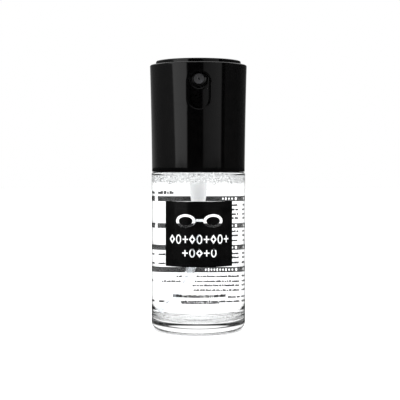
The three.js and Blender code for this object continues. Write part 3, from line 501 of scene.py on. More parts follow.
def follow(bm, angles, previous, profile):
    """Leads a ring through a list of (radius, height) places, with faces between. Returns the last ring."""
    for r, z in profile:
        following = ring(bm, angles, r, z)
        bridge(bm, previous, following)
        previous = following
    return previous


def turn(bm, corners, angles, closed=True):
    """Turns an outline about the axis. A closed outline ends where it starts."""
    rings = [ring(bm, angles, p.x, p.y) for p in rounded(corners)]
    for a, b in zip(rings, rings[1:]):
        bridge(bm, a, b)
    if closed and len(rings[0]) > 1:
        bridge(bm, rings[-1], rings[0])


def make(name, bm, finish_used, body, stands_for=(), sharp=32, outward=True):
    """Turns a bmesh into a piece that rides on a body and has the finish it is given."""
    if outward:
        bmesh.ops.recalc_face_normals(bm, faces=bm.faces)
    for edge in bm.edges:
        edge.smooth = not edge.is_manifold or edge.calc_face_angle(0) < math.radians(sharp)
    for face in bm.faces:
        face.smooth = True
    shape = bpy.data.meshes.new(name)
    bm.to_mesh(shape)
    bm.free()
    shape.materials.append(finish_used)
    piece = bpy.data.objects.new(name, shape)
    bpy.context.scene.collection.objects.link(piece)
    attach(piece, body)
    if stands_for:
        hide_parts(*stands_for)
    print(name, "faces", len(shape.polygons), "size mm", [round(v / MM, 1) for v in piece.dimensions])


# %% [markdown]
# ## Bottle
#
# The bottle is moulded from clear polyester: a thick floor, an even wall, a flat shoulder and a screw neck.
# It is one closed skin, inside and outside, because light must meet both faces of the wall for the edges to
# look right. The thread is a ridge that sinks a little into the neck.

# %% Bottle
bottle_high = span("bottle")[1]
fluid_low, fluid_high = span("cleaning_fluid")
sleeve_low, sleeve_high = span("outer_sleeve")
gasket_high = span("neck_gasket")[1]
WALL_R = bottle_high.x
RIM_Z = bottle_high.z
SHOULDER_Z = sleeve_low.z - 0.1
CAVITY_R = fluid_high.x + 0.05
FLOOR_Z = fluid_low.z - 0.05
ROOF_Z = SHOULDER_Z - 0.3
ROOF_CORNER = 1.0
NECK_R = gasket_high.x + 0.4
NECK_BORE = NECK_R - 1.8
NECK_EDGE = 0.3
FLOOR_RISE = 0.5
CAVITY_HEEL = 4.5
PUSH_UP, STAND_R = 1.2, 9.5
SMOOTH_ROUND = round_angles(192)

bottle_outline = [
    (0, PUSH_UP, 0), (STAND_R - 2 * PUSH_UP, PUSH_UP, 1.0), (STAND_R, 0, 0.8), (WALL_R, 0, 2.8),
    (WALL_R, SHOULDER_Z, 0.8), (NECK_R, SHOULDER_Z, NECK_EDGE), (NECK_R, RIM_Z, NECK_EDGE),
    (NECK_BORE, RIM_Z, NECK_EDGE), (NECK_BORE, ROOF_Z, 0.4), (CAVITY_R, ROOF_Z, ROOF_CORNER),
    (CAVITY_R, FLOOR_Z, CAVITY_HEEL), (0, FLOOR_Z + FLOOR_RISE, 0),
]
bm = bmesh.new()
turn(bm, bottle_outline, SMOOTH_ROUND, closed=False)
THREAD_PITCH, THREAD_TURNS, THREAD_STEPS = 3.175, 1.5, 96
THREAD_BELOW_RIM = 1.6
THREAD_FADE = 0.12
THREAD_SECTION = [
    (-0.3, -0.65), (0, -0.65), (0.85, -0.4), (0.95, -0.25),
    (0.95, 0.25), (0.85, 0.4), (0, 0.65), (-0.3, 0.65),
]
thread_rings = []
for step in range(THREAD_STEPS + 1):
    turned = THREAD_TURNS * step / THREAD_STEPS
    fade = min(1, 0.15 + min(turned, THREAD_TURNS - turned) / THREAD_FADE)
    angle = -2 * math.pi * turned
    loop = []
    for out, up in THREAD_SECTION:
        r = NECK_R + (out * fade if out > 0 else out)
        z = RIM_Z - THREAD_BELOW_RIM + up + THREAD_PITCH * angle / (2 * math.pi)
        loop.append(bm.verts.new((r * math.cos(angle) * MM, r * math.sin(angle) * MM, z * MM)))
    thread_rings.append(loop)
for a, b in zip(thread_rings, thread_rings[1:]):
    bridge(bm, a, b)
bm.faces.new(thread_rings[0])
bm.faces.new(thread_rings[-1])
make("clear_bottle", bm, clear_plastic, "bottle", ["bottle"], sharp=40)

# %% [markdown]
# ## Fluid and its bubbles
#
# The fluid fills the cavity to just under the shoulder. Where it wets the wall its skin reaches a hair into
# the plastic, so that light goes from wall to fluid with no air between them, as it really does. The bubbles
# under the shoulder are hollow: each one is a small ball cut out of the fluid, whose skin faces its own
# middle. Particles could place them, but a seeded list that refuses overlaps is steadier and gives the same
# foam every time.

# %% Fluid
WETTING = 0.05
FROTH_Z = ROOF_Z - 0.05
BUBBLE_GAP = 0.01
fluid_outline = [
    (0, FLOOR_Z + FLOOR_RISE - WETTING, 0),
    (CAVITY_R + WETTING, FLOOR_Z - WETTING, CAVITY_HEEL + WETTING),
    (CAVITY_R + WETTING, ROOF_Z - ROOF_CORNER, 0),
    (CAVITY_R - 0.3, FROTH_Z - 0.1, 0.7),
    (CAVITY_R - 1.2, FROTH_Z, 0),
    (0, FROTH_Z, 0),
]
BALL = bmesh.new()
bmesh.ops.create_icosphere(BALL, subdivisions=2, radius=1)
BALL_POINTS = [v.co.copy() for v in BALL.verts]
BALL_FACES = [[v.index for v in f.verts] for f in BALL.faces]
BALL.free()


def place_bubbles(count, chance, inner, outer, deepest, smallest, largest, taken):
    """Tries to place hollow bubbles between two radii, close under the fluid's level, without overlaps.
    Small bubbles and bubbles near the level are the likeliest."""
    for _ in range(count):
        size = smallest + (largest - smallest) * chance.random() ** 2.2
        r = math.sqrt(chance.uniform(inner ** 2, (outer - size) ** 2))
        angle = chance.uniform(0, 2 * math.pi)
        z = FROTH_Z - size - 0.03 - deepest * chance.random() ** 1.6
        middle = Vector((r * math.sin(angle), -r * math.cos(angle), z))
        if all((middle - m).length > size + s + BUBBLE_GAP for m, s in taken):
            taken.append((middle, size))


chance = random.Random(11)
taken = []
place_bubbles(3600, chance, 11.8, CAVITY_R - 0.04, 2.7, 0.2, 0.7, taken)
place_bubbles(600, chance, 2.4, 12.0, 0.7, 0.3, 0.8, taken)
bm = bmesh.new()
turn(bm, fluid_outline, SMOOTH_ROUND, closed=False)
bmesh.ops.recalc_face_normals(bm, faces=bm.faces)
for middle, size in taken:
    corners = [bm.verts.new((middle + p * size) * MM) for p in BALL_POINTS]
    for a, b, c in BALL_FACES:
        bm.faces.new((corners[a], corners[c], corners[b]))
make("lens_fluid", bm, clear_fluid, "bottle", ["cleaning_fluid"], outward=False)
print("bubbles", len(taken))

# %% [markdown]
# ## Print
#
# The front carries a black panel with clear figures left out of the ink, and the back carries grey bars that
# are seen through the fluid. The figures are plain: a pair of spectacles, and rows of rings, diamonds and
# crosses. Ink is a very thin film, so each print is drawn flat as outlines, filled, cut into narrow upright
# bands so that it can bend, doubled to give it its thickness, and wrapped round the wall. The film reaches a
# hair into the wall, so that light inside the plastic meets the ink first.

# %% Tools for print
INK_OUT = 0.03
INK_IN = 0.015
BAND = 0.6
DISC_START = 0.37  # in steps, so that no corner lies straight beside or above the middle


def disc(x, z, radius, across=1.0, steps=28):
    """A round or oval outline. Across is its width over its height."""
    angles = (2 * math.pi * (i + DISC_START) / steps for i in range(steps))
    return [(x + across * radius * math.cos(a), z + radius * math.sin(a)) for a in angles]


def bar(x0, z0, x1, z1):
    """An upright rectangle as an outline."""
    return [(x0, z0), (x1, z0), (x1, z1), (x0, z1)]


def fill(bm, outlines):
    """Fills flat outlines. One outline inside another is a hole, and one inside that is ink again."""
    loops = [[Vector((x, z, 0)) for x, z in outline] for outline in outlines]
    points = [bm.verts.new(p) for loop in loops for p in loop]
    for triangle in geometry.tessellate_polygon(loops):
        bm.faces.new([points[i] for i in triangle])


def wrap(bm, side):
    """Bends a flat print round the bottle. Side is -1 for the front and 1 for the back."""
    reach = max(abs(v.co.x) for v in bm.verts)
    for i in range(-math.ceil(reach / BAND), math.ceil(reach / BAND) + 1):
        everything = bm.verts[:] + bm.edges[:] + bm.faces[:]
        bmesh.ops.bisect_plane(bm, geom=everything, plane_co=(i * BAND, 0, 0), plane_no=(1, 0, 0), dist=1e-6)
    inner = set(bm.verts)
    bmesh.ops.extrude_face_region(bm, geom=bm.faces[:], use_keep_orig=True)
    for vertex in bm.verts:
        angle = vertex.co.x / WALL_R
        r = WALL_R - INK_IN if vertex in inner else WALL_R + INK_OUT
        vertex.co = (r * math.sin(angle) * MM, side * r * math.cos(angle) * MM, vertex.co.y * MM)
    bmesh.ops.recalc_face_normals(bm, faces=bm.faces)


# %% Front panel
label_low, label_high = span("front_label")
PANEL_HALF = 24.3 / 2
panel = [bar(-PANEL_HALF, label_low.z, PANEL_HALF, label_high.z)]


def spectacles(x, z, width):
    """A pair of spectacles as outlines: two rings and a bridge, width from edge to edge."""
    lens_r = width * 0.14
    stroke = width * 0.05
    gap = width / 2 - lens_r * 1.5
    shapes = []
    for side in (-1, 1):
        shapes += [disc(x + side * gap, z, lens_r, 1.5), disc(x + side * gap, z, lens_r - stroke, 1.65)]
    inside = gap - lens_r * 1.5
    shapes.append(bar(x - inside + 0.08, z - stroke * 0.2, x + inside - 0.08, z + stroke * 0.8))
    return shapes


def diamond(x, z, wide, half):
    """An upright diamond, from its half width and half height."""
    return [(x - wide, z), (x, z - half), (x + wide, z), (x, z + half)]


def plus(x, z, wide, half, arm):
    """A cross whose arms are twice as thick as arm."""
    return [
        (x - arm, z - half), (x + arm, z - half), (x + arm, z - arm), (x + wide, z - arm),
        (x + wide, z + arm), (x + arm, z + arm), (x + arm, z + half), (x - arm, z + half),
        (x - arm, z + arm), (x - wide, z + arm), (x - wide, z - arm), (x - arm, z - arm),
    ]


def figure_row(x, z, count, pitch, height, stroke, order):
    """A row of plain outlined figures, each as tall as the row."""
    shapes = []
    half = height / 2
    for k in range(count):
        middle = x + (k - (count - 1) / 2) * pitch
        kind = order[k % len(order)]
        wide = pitch * 0.4
        if kind == "ring":
            inner = half - stroke
            shapes += [disc(middle, z, half, wide / half), disc(middle, z, inner, (wide - stroke) / inner)]
        elif kind == "diamond":
            shapes.append(diamond(middle, z, wide * 1.15, half))
            shapes.append(diamond(middle, z, wide * 1.15 - 1.4 * stroke, half - 2.2 * stroke))
        else:
            shapes.append(plus(middle, z, wide, half * 0.75, stroke / 2))
    return shapes


PANEL_MIDDLE = 0.1
STROKE = 0.4
panel += spectacles(PANEL_MIDDLE, 37.8, 15.9)
panel += figure_row(PANEL_MIDDLE, 31.8, 9, 2.35, 3.1, STROKE, ["diamond", "ring", "cross"])
panel += figure_row(PANEL_MIDDLE, 27.3, 5, 2.4, 2.9, STROKE, ["cross", "ring", "diamond"])
bm = bmesh.new()
fill(bm, panel)
wrap(bm, -1)
make("front_panel", bm, black_ink, "bottle", ["front_label"])

# %% Small print
def dashes(x0, x1, z, height, chance):
    """A line of short bars of uneven length, as small print looks from a distance."""
    shapes, x = [], x0
    while x < x1:
        length = chance.uniform(0.15, 0.45)
        shapes.append(bar(x, z - height / 2, min(x + length, x1), z + height / 2 * chance.uniform(0.4, 1)))
        x += length + chance.choice((0.03, 0.05, 0.16))
    return shapes


chance = random.Random(5)
bm = bmesh.new()
for shape in dashes(-9.0, 9.3, 13.2, 1.05, chance) + dashes(-5.9, 6.8, 10.9, 0.6, chance):
    fill(bm, [shape])
wrap(bm, -1)
make("front_small_print", bm, black_ink, "bottle")

# %% Back bars
BACK_HALF = 18
SHORT_LEFT = -7.11
# The height of each bar's top and foot, its left end, and how many dots are left clear in it.
BARS = [
    (45.1, 43.3, SHORT_LEFT, 5), (35.6, 33.9, SHORT_LEFT, 2), (28.0, 26.2, -BACK_HALF, 2),
    (20.3, 18.4, -BACK_HALF, 11),
]
DOT_START, DOT_PITCH, DOT_HALF = 7.3, 0.56, 0.17
TALL_DOT, LOW_DOT = 0.6, 0.42
bm = bmesh.new()
for top, foot, left, marks in BARS:
    middle = (top + foot) / 2
    shapes = [bar(left, foot, BACK_HALF, top)]
    for n in range(marks):
        tall = TALL_DOT if n % 3 == 0 else LOW_DOT
        shapes.append(disc(DOT_START - DOT_PITCH * n, middle, tall, DOT_HALF / tall, 12))
    fill(bm, shapes)
TEXT_HEIGHT = 0.72
TEXT_END = 7.55
# Lines of small print as (left end, right end, height).
TEXT_LINES = [
    (-4.0, -1.85, 17.05), (-0.1, TEXT_END, 17.05), (-6.6, -2.4, 15.3), (-0.45, TEXT_END, 15.3),
    (-0.9, TEXT_END, 13.85), (-0.7, TEXT_END, 12.2), (5.9, TEXT_END, 9.8), (-6.9, -5.6, 8.2),
    (-3.2, TEXT_END, 8.2), (-7.0, -6.1, 24.7), (-7.0, -6.1, 21.55),
]
TEXT_LINES += [(6.7, TEXT_END, z) for z in (41.95, 40.4, 38.8, 37.4, 32.8, 31.3, 29.6, 25.0, 23.6, 21.8)]
for x0, x1, z in TEXT_LINES:
    for shape in dashes(x0, x1, z, TEXT_HEIGHT, chance):
        fill(bm, [shape])
for shape in dashes(-7.1, -4.6, 46.4, 1.15, chance):
    fill(bm, [shape])
wrap(bm, 1)
make("back_print", bm, grey_ink, "bottle", ["back_label"])

# %% [markdown]
# ## Pump body and dip tube
#
# The pump's body is milky polypropylene that lets some light through. Only its spigot hangs into the fluid,
# but the whole body is turned, with the ball's seat and cage inside. The dip tube follows the same curve as
# in the CAD model: straight out of the spigot, then leaning over the floor. It is swept along that
# curve, with its bore open at both ends.

# %% Pump body
housing_low, housing_high = span("pump_housing")
PART_ROUND = round_angles(72)
SPIGOT_R, SPIGOT_TIP_R, SPIGOT_TAPER = 2.15, 1.7, 3.4
TUBE_SOCKET_R, THROAT_R = 1.25, 0.7
BODY_R, FLANGE_R, MOUTH_R, CHAMBER_R = 5.2, 8.6, 4.25, 3.3
CAGE_R, CAGE_BORE, CAGE_MOUTH_R = 2.0, 1.5, 1.15
BODY_FOOT, THROAT_FOOT, SEAT_FOOT, CHAMBER_FOOT = 53.4, 53.6, 54.3, 55.0
CAGE_LIP, CAGE_LIP_FACE, CAGE_TOP = 56.52, 56.7, 57.05
MOUTH_FLOOR, FLANGE_FOOT = 66.4, 66.9
housing_outline = [
    (THROAT_R, THROAT_FOOT, 0), (TUBE_SOCKET_R, THROAT_FOOT, 0), (TUBE_SOCKET_R, housing_low.z, 0),
    (SPIGOT_TIP_R, housing_low.z, 0.1), (SPIGOT_R, housing_low.z + SPIGOT_TAPER, 1.0),
    (SPIGOT_R, BODY_FOOT, 0.3), (BODY_R, BODY_FOOT, 0.3), (BODY_R, FLANGE_FOOT, 0.2),
    (FLANGE_R, FLANGE_FOOT, 0.1), (FLANGE_R, housing_high.z, 0.15), (MOUTH_R, housing_high.z, 0.1),
    (MOUTH_R, MOUTH_FLOOR, 0), (CHAMBER_R, MOUTH_FLOOR, 0.1), (CHAMBER_R, CHAMBER_FOOT, 0.2),
    (CAGE_R, CHAMBER_FOOT, 0.1), (CAGE_R, CAGE_TOP, 0.1), (CAGE_MOUTH_R, CAGE_TOP, 0.05),
    (CAGE_MOUTH_R, CAGE_LIP_FACE, 0), (CAGE_BORE, CAGE_LIP, 0), (CAGE_BORE, CHAMBER_FOOT, 0),
    (THROAT_R, SEAT_FOOT, 0),
]
bm = bmesh.new()
turn(bm, housing_outline, PART_ROUND)
make("pump_body", bm, frosted_plastic, "pump", ["pump_housing"])

# %% Dip tube
TUBE_R, TUBE_BORE = 1.2, 0.6
tube_high = span("dip_tube")[1]
STRAIGHT_FOOT = housing_low.z
BEND_Z = 12.0
BEND_STEPS = 60
BEND = [Vector((0, STRAIGHT_FOOT)), Vector((0, BEND_Z)), Vector((-6.9, BEND_Z)), Vector((-10.4, 5.5))]


def along_bend(t):
    """A place on the bend, as (sideways, height), for t from 0 at its top to 1 at the tube's open end."""
    a, b, c, d = BEND
    return a * (1 - t) ** 3 + b * 3 * t * (1 - t) ** 2 + c * 3 * t * t * (1 - t) + d * t ** 3


spine = [Vector((0, tube_high.z)), Vector((0, (tube_high.z + STRAIGHT_FOOT) / 2))]
spine += [along_bend(i / BEND_STEPS) for i in range(BEND_STEPS + 1)]
bm = bmesh.new()
sides = {TUBE_R: [], TUBE_BORE: []}
for i, point in enumerate(spine):
    ahead = (spine[min(i + 1, len(spine) - 1)] - spine[max(i - 1, 0)]).normalized()
    across = Vector((ahead.y, -ahead.x))
    for r in sides:
        loop = []
        for a in round_angles(36):
            place = point + across * r * math.cos(a)
            loop.append(bm.verts.new((place.x * MM, r * math.sin(a) * MM, place.y * MM)))
        sides[r].append(loop)
for rings in sides.values():
    for a, b in zip(rings, rings[1:]):
        bridge(bm, a, b)
for end in (0, -1):
    bridge(bm, sides[TUBE_R][end], sides[TUBE_BORE][end])
make("dip_straw", bm, clear_tube, "pump", ["dip_tube"])

# %% [markdown]
# ## Walls with a port
#
# The sleeve has an upright window, and the head has a dished seat for the nozzle. Cutting them with a boolean
# would leave ragged points on a curved, glossy wall, and the shine would show them. So each wall is a grid
# whose block of cells around the port is left out. Rings of points then lead from the edge of that block to
# the outline of the port, round its lip, and through the wall.

# %% Walls with a port
PORT_COLUMNS = 20
PLAIN_COLUMNS = 140
PORT_HALF = 6.0
ROWS_BELOW, ROWS_ACROSS, ROWS_BEYOND = 14, 26, 5


def port_angles(radius):
    """Angles for a wall's columns: evenly across the port's block in front, then evenly round the rest."""
    edge = math.asin(PORT_HALF / radius)
    front = [math.asin(PORT_HALF * (2 * i / PORT_COLUMNS - 1) / radius) for i in range(PORT_COLUMNS + 1)]
    rest = [edge + (2 * math.pi - 2 * edge) * i / PLAIN_COLUMNS for i in range(1, PLAIN_COLUMNS)]
    return front + rest


def wall_levels(low, high, port_low, port_high):
    """Heights of a wall's rows, and the numbers of the rows at the foot and at the top of its open block."""
    below = [low + (port_low - low) * i / ROWS_BELOW for i in range(ROWS_BELOW)]
    across = [port_low + (port_high - port_low) * i / ROWS_ACROSS for i in range(ROWS_ACROSS)]
    beyond = [port_high + (high - port_high) * i / ROWS_BEYOND for i in range(ROWS_BEYOND + 1)]
    return below + across + beyond, ROWS_BELOW, ROWS_BELOW + ROWS_ACROSS


def on_wall(x, z, radius):
    """The place on a round wall's front that has these x and z."""
    return Vector((x, -math.sqrt(radius ** 2 - x ** 2), z)) * MM


def ported_wall(bm, radius_at, angles, levels, first, last):
    """A wall whose cells between two rows are left open in front. Returns its foot ring, its top ring, and
    the loop of points round the open block, from the lower left corner to the right."""
    rows = [ring(bm, angles, radius_at(z), z) for z in levels]
    for j, (a, b) in enumerate(zip(rows, rows[1:])):
        for i in range(len(angles)):
            if first <= j < last and i < PORT_COLUMNS:
                continue
            n = (i + 1) % len(angles)
            bm.faces.new((a[i], a[n], b[n], b[i]))
    loop = [rows[first][i] for i in range(PORT_COLUMNS)]
    loop += [rows[j][PORT_COLUMNS] for j in range(first, last)]
    loop += [rows[last][i] for i in range(PORT_COLUMNS, 0, -1)]
    loop += [rows[j][0] for j in range(last, first, -1)]
    return rows[0], rows[-1], loop


def lead(bm, loop, stations):
    """Leads a loop of points through a list of stations, each a list of places, with faces between them."""
    for places in stations:
        following = [bm.verts.new(p) for p in places]
        bridge(bm, loop, following)
        loop = following
    return loop


# %% [markdown]
# ## Sleeve
#
# The sleeve is a thin black tube, a little wider at its rim. Its window is an upright slot with round ends
# and a soft lip, which catches a line of light. Inside, a web carries the collar that grips the closure.

# %% Sleeve's shape
FOOT_R, FLARE = WALL_R - 0.13, 0.7
BORE_R = FOOT_R - 1.05
WINDOW_HALF, WINDOW_LONG = 7.75 / 2, 12.3
WINDOW_Z = sleeve_high.z - 3.2 - WINDOW_LONG / 2
STRAIGHT = WINDOW_LONG / 2 - WINDOW_HALF
WINDOW_BLOCK = 7.6  # half the height of the block left open for the window
LIP = 0.3
INNER_LIP = 0.15
LIP_STEPS = 5
RIM_EDGE = 0.4
INNER_EDGE = FOOT_EDGE = 0.15
SOFTENED = 0.04
EDGE_STEPS = 8


def flare(z):
    """Radius of the sleeve's outside at a height. It widens faster towards the rim."""
    share = (z - sleeve_low.z) / (sleeve_high.z - sleeve_low.z)
    return FOOT_R + FLARE * share * (1 + share) / 2


def slot_point(direction_x, direction_z):
    """Where a ray from the window's middle meets its outline, and the outline's own direction out there."""
    side = WINDOW_HALF / max(abs(direction_x), 1e-9)
    if side * abs(direction_z) <= STRAIGHT:
        return (side * direction_x, side * direction_z), (math.copysign(1, direction_x), 0)
    reach = STRAIGHT * abs(direction_z) + math.sqrt(WINDOW_HALF ** 2 - (STRAIGHT * direction_x) ** 2)
    x, z = reach * direction_x, reach * direction_z
    return (x, z), (x / WINDOW_HALF, (z - math.copysign(STRAIGHT, direction_z)) / WINDOW_HALF)


def window_stations(loop, radius_at, lip, inward):
    """Places that lead from the block's edge to the window's outline and round its lip. Inward is 1 when
    the lip turns towards the axis, and -1 when it turns away from it."""
    rays = []
    for vertex in loop:
        x, z = vertex.co.x / MM, vertex.co.z / MM - WINDOW_Z
        length = math.hypot(x, z)
        rays.append(((x, z), *slot_point(x / length, z / length)))
    stations = []
    for share in (0.3, 0.6, 0.85, 1.0):
        places = []
        for (x, z), (px, pz), (nx, nz) in rays:
            gx, gz = x + (px + nx * lip - x) * share, z + (pz + nz * lip - z) * share
            places.append(on_wall(gx, gz + WINDOW_Z, radius_at(gz + WINDOW_Z)))
        stations.append(places)
    for step in range(1, LIP_STEPS + 1):
        beta = math.pi / 2 * step / LIP_STEPS
        places = []
        for _, (px, pz), (nx, nz) in rays:
            out, depth = lip * (1 - math.sin(beta)), lip * (1 - math.cos(beta))
            gx, gz = px + nx * out, pz + nz * out + WINDOW_Z
            places.append(on_wall(gx, gz, radius_at(gz)) + Vector((0, inward * depth * MM, 0)))
        stations.append(places)
    return stations


def rolled_edge(radius, z, edge):
    """(radius, height) places round an outer corner, from just after its start to its top at height z."""
    turns = [math.pi / 2 * step / EDGE_STEPS for step in range(1, EDGE_STEPS + 1)]
    return [(radius - edge * (1 - math.cos(t)), z - edge * (1 - math.sin(t))) for t in turns]


# %% Sleeve
SLEEVE_FOOT, SLEEVE_RIM = sleeve_low.z, sleeve_high.z
levels, first, last = wall_levels(
    SLEEVE_FOOT + FOOT_EDGE, SLEEVE_RIM - RIM_EDGE, WINDOW_Z - WINDOW_BLOCK, WINDOW_Z + WINDOW_BLOCK
)
columns = port_angles(flare(WINDOW_Z))
bm = bmesh.new()
outer_foot, outer_top, outer_loop = ported_wall(bm, flare, columns, levels, first, last)
inner_foot, inner_top, inner_loop = ported_wall(bm, lambda z: BORE_R, columns, levels, first, last)
outer_end = lead(bm, outer_loop, window_stations(outer_loop, flare, LIP, 1))
inner_end = lead(bm, inner_loop, window_stations(inner_loop, lambda z: BORE_R, INNER_LIP, -1))
bridge(bm, outer_end, inner_end)
rim = rolled_edge(flare(SLEEVE_RIM - RIM_EDGE), SLEEVE_RIM, RIM_EDGE)
rim += [
    (BORE_R + INNER_EDGE, SLEEVE_RIM), (BORE_R + SOFTENED, SLEEVE_RIM - SOFTENED),
    (BORE_R, SLEEVE_RIM - INNER_EDGE),
]
bridge(bm, follow(bm, columns, outer_top, rim), inner_top)
underside = [
    (FOOT_R - SOFTENED, SLEEVE_FOOT + SOFTENED), (FOOT_R - FOOT_EDGE, SLEEVE_FOOT),
    (BORE_R + 0.1, SLEEVE_FOOT),
]
bridge(bm, follow(bm, columns, outer_foot, underside), inner_foot)

closure_high = span("screw_closure")[1]
COLLAR_BORE, COLLAR_R = 11.7, 13.55
COLLAR_FOOT, COLLAR_TOP = SLEEVE_FOOT + 1.4, closure_high.z - 2
WEB_FOOT, WEB_TOP = SLEEVE_FOOT + 5, SLEEVE_FOOT + 6.2
WEB_R = BORE_R + 0.3
COLLAR_EDGE = 0.2
collar_outline = [
    (COLLAR_BORE, COLLAR_FOOT, 0), (COLLAR_R, COLLAR_FOOT, COLLAR_EDGE), (COLLAR_R, WEB_FOOT, COLLAR_EDGE),
    (WEB_R, WEB_FOOT, 0), (WEB_R, WEB_TOP, 0), (COLLAR_R, WEB_TOP, COLLAR_EDGE),
    (COLLAR_R, COLLAR_TOP, COLLAR_EDGE), (COLLAR_BORE, COLLAR_TOP, 0.1),
]
turn(bm, collar_outline, PART_ROUND)
make("black_sleeve", bm, glossy_black, "screw_cap", ["outer_sleeve"], sharp=50)

# %% [markdown]
# ## Spray head
#
# The button slides inside the sleeve. Its top stands a little proud and is dished for the finger. In front is
# the cone round the nozzle, whose edge is found where the cone meets the round skirt.

# %% Spray head's shape
head_low, head_high = span("head")
insert_low, insert_high = span("nozzle_insert")
HEAD_R = head_high.x
NOZZLE_Z = (insert_low.z + insert_high.z) / 2
CONE_DEPTH = 1.35
CONE_MOUTH_R = 3.45  # where the cone would meet a flat front
DISH_FLOOR_Y, DISH_FLOOR_R = HEAD_R - CONE_DEPTH, 2.35
DISH_SLOPE = (CONE_MOUTH_R - DISH_FLOOR_R) / CONE_DEPTH
SEAT_R, SEAT_DEPTH = 1.85, 3.7
SOFT = 0.08  # half width of the small bevels in the dish
HEAD_EDGE = 0.35


def dish_edge(angle):
    """Radius at which the cone round the nozzle meets the head's wall, in one direction. Each round of the
    loop brings the radius closer."""
    r = CONE_MOUTH_R
    for _ in range(8):
        r = DISH_FLOOR_R + DISH_SLOPE * (math.sqrt(HEAD_R ** 2 - (r * math.cos(angle)) ** 2) - DISH_FLOOR_Y)
    return r


def dish_stations(loop):
    """Places that lead from the block's edge over the wall, down the cone, across the floor and into the
    nozzle's seat."""
    stations = [[] for _ in range(11)]
    for vertex in loop:
        x, z = vertex.co.x / MM, vertex.co.z / MM - NOZZLE_Z
        angle, length = math.atan2(z, x), math.hypot(x, z)
        c, s = math.cos(angle), math.sin(angle)
        edge = dish_edge(angle)
        for k, share in enumerate((0.35, 0.7, 1.0)):
            r = length + (edge + 0.12 - length) * share
            stations[k].append(on_wall(r * c, r * s + NOZZLE_Z, HEAD_R))
        edge_y = math.sqrt(HEAD_R ** 2 - (edge * c) ** 2)
        stations[3].append(Vector(((edge + 0.03) * c, -edge_y + 0.03, (edge + 0.03) * s + NOZZLE_Z)) * MM)
        for k, (r, y) in enumerate((
            (edge - 0.1 * DISH_SLOPE, edge_y - 0.1),
            ((edge + DISH_FLOOR_R) / 2, (edge_y + DISH_FLOOR_Y) / 2),
            (DISH_FLOOR_R + SOFT, DISH_FLOOR_Y + SOFT),
            (DISH_FLOOR_R - SOFT, DISH_FLOOR_Y),
            (SEAT_R + SOFT, DISH_FLOOR_Y),
            (SEAT_R, DISH_FLOOR_Y - SOFT),
            (SEAT_R, DISH_FLOOR_Y - SEAT_DEPTH),
        )):
            stations[4 + k].append(Vector((r * c, -y, r * s + NOZZLE_Z)) * MM)
    return stations


# %% Spray head
HEAD_FOOT, HEAD_TOP = head_low.z, head_high.z
DISH_R, DISH_DEPTH, DISH_STEPS = HEAD_R - 2, 0.7, 24
SKIRT_R = HEAD_R - 1.25
CEILING = HEAD_TOP - 2.2
SOCKET_BORE, SOCKET_R, SOCKET_FOOT = 2.05, 3.55, 76.5
levels, first, last = wall_levels(HEAD_FOOT + 0.2, HEAD_TOP - HEAD_EDGE, NOZZLE_Z - 5.2, NOZZLE_Z + 4.6)
columns = port_angles(HEAD_R)
bm = bmesh.new()
foot, top, loop = ported_wall(bm, lambda z: HEAD_R, columns, levels, first, last)
seat_end = lead(bm, loop, dish_stations(loop))
bridge(bm, seat_end, [bm.verts.new(Vector((0, SEAT_DEPTH - DISH_FLOOR_Y, NOZZLE_Z)) * MM)])
crown = rolled_edge(HEAD_R, HEAD_TOP, HEAD_EDGE)
crown += [(DISH_R + 0.5, HEAD_TOP), (DISH_R + 0.1, HEAD_TOP - 0.01)]
shares = [k / DISH_STEPS for k in range(1, DISH_STEPS + 1)]
crown += [(DISH_R * (1 - k), HEAD_TOP - DISH_DEPTH * math.sin(math.pi / 2 * k)) for k in shares]
follow(bm, columns, top, crown)
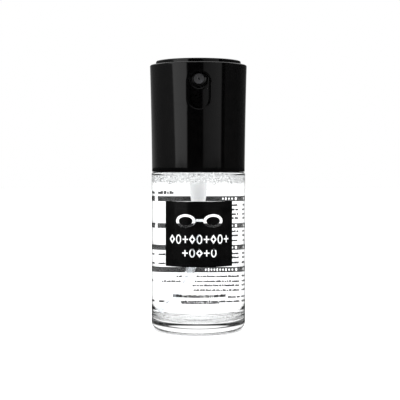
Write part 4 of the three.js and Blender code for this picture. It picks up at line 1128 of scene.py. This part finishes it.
follow(bm, columns, foot, [
    (HEAD_R - 0.06, HEAD_FOOT + 0.05), (HEAD_R - 0.2, HEAD_FOOT), (SKIRT_R + 0.1, HEAD_FOOT),
    (SKIRT_R, HEAD_FOOT + 0.1), (SKIRT_R, CEILING), (0, CEILING),
])
stem_end = span("pump_stem")[1].z + 0.05
socket_outline = [
    (SOCKET_BORE, SOCKET_FOOT, 0), (SOCKET_R, SOCKET_FOOT, 0.2), (SOCKET_R, CEILING + 0.1, 0),
    (0, CEILING + 0.1, 0), (0, stem_end, 0), (SOCKET_BORE, stem_end, 0),
]
turn(bm, socket_outline, PART_ROUND)
make("spray_button", bm, glossy_black, "spray_head", ["head"], sharp=50)

# %% [markdown]
# ## Nozzle insert
#
# A dark grey cup, pressed into the head, with a small cone round its orifice. It is turned about the spray's
# own axis, so it is turned upright first and then laid down.

# %% Nozzle insert
FACE, BACK = -insert_low.y, -insert_high.y
CUP_R, CUP_BORE = 1.8, 1.2
MOUTH_CONE_R, ORIFICE_R = 0.4, 0.2
CUP_FLOOR = FACE - 0.6
insert_outline = [
    (CUP_BORE, BACK, 0), (CUP_R, BACK, 0.1), (CUP_R, FACE, 0.25), (MOUTH_CONE_R, FACE, 0.15),
    (ORIFICE_R, FACE - 0.12, 0.03), (ORIFICE_R, CUP_FLOOR, 0), (CUP_BORE, CUP_FLOOR, 0),
]
bm = bmesh.new()
turn(bm, insert_outline, PART_ROUND)
for vertex in bm.verts:
    x, y, z = vertex.co
    vertex.co = (x, -z, y + NOZZLE_Z * MM)
make("nozzle_cup", bm, dark_grey_plastic, "spray_head", ["nozzle_insert"])

# %% [markdown]
# ## Pieces that keep their CAD shape
#
# The closure and the works inside the pump are hidden when the cap is on. They keep their CAD shapes and only
# get their finishes. The spring keeps its rest length at every stroke, so the plunger passes through it.

# %% Finish the hidden pieces
KEPT = {
    "neck_gasket": grey_rubber, "stem_retainer": white_plastic, "pump_stem": white_plastic,
    "plunger": white_plastic, "piston": white_plastic, "screw_closure": white_plastic,
    "return_spring": stainless_steel, "check_ball": stainless_steel,
}
for name, made in KEPT.items():
    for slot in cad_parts[name].material_slots:
        slot.material = made
    print(name, "->", made.name)
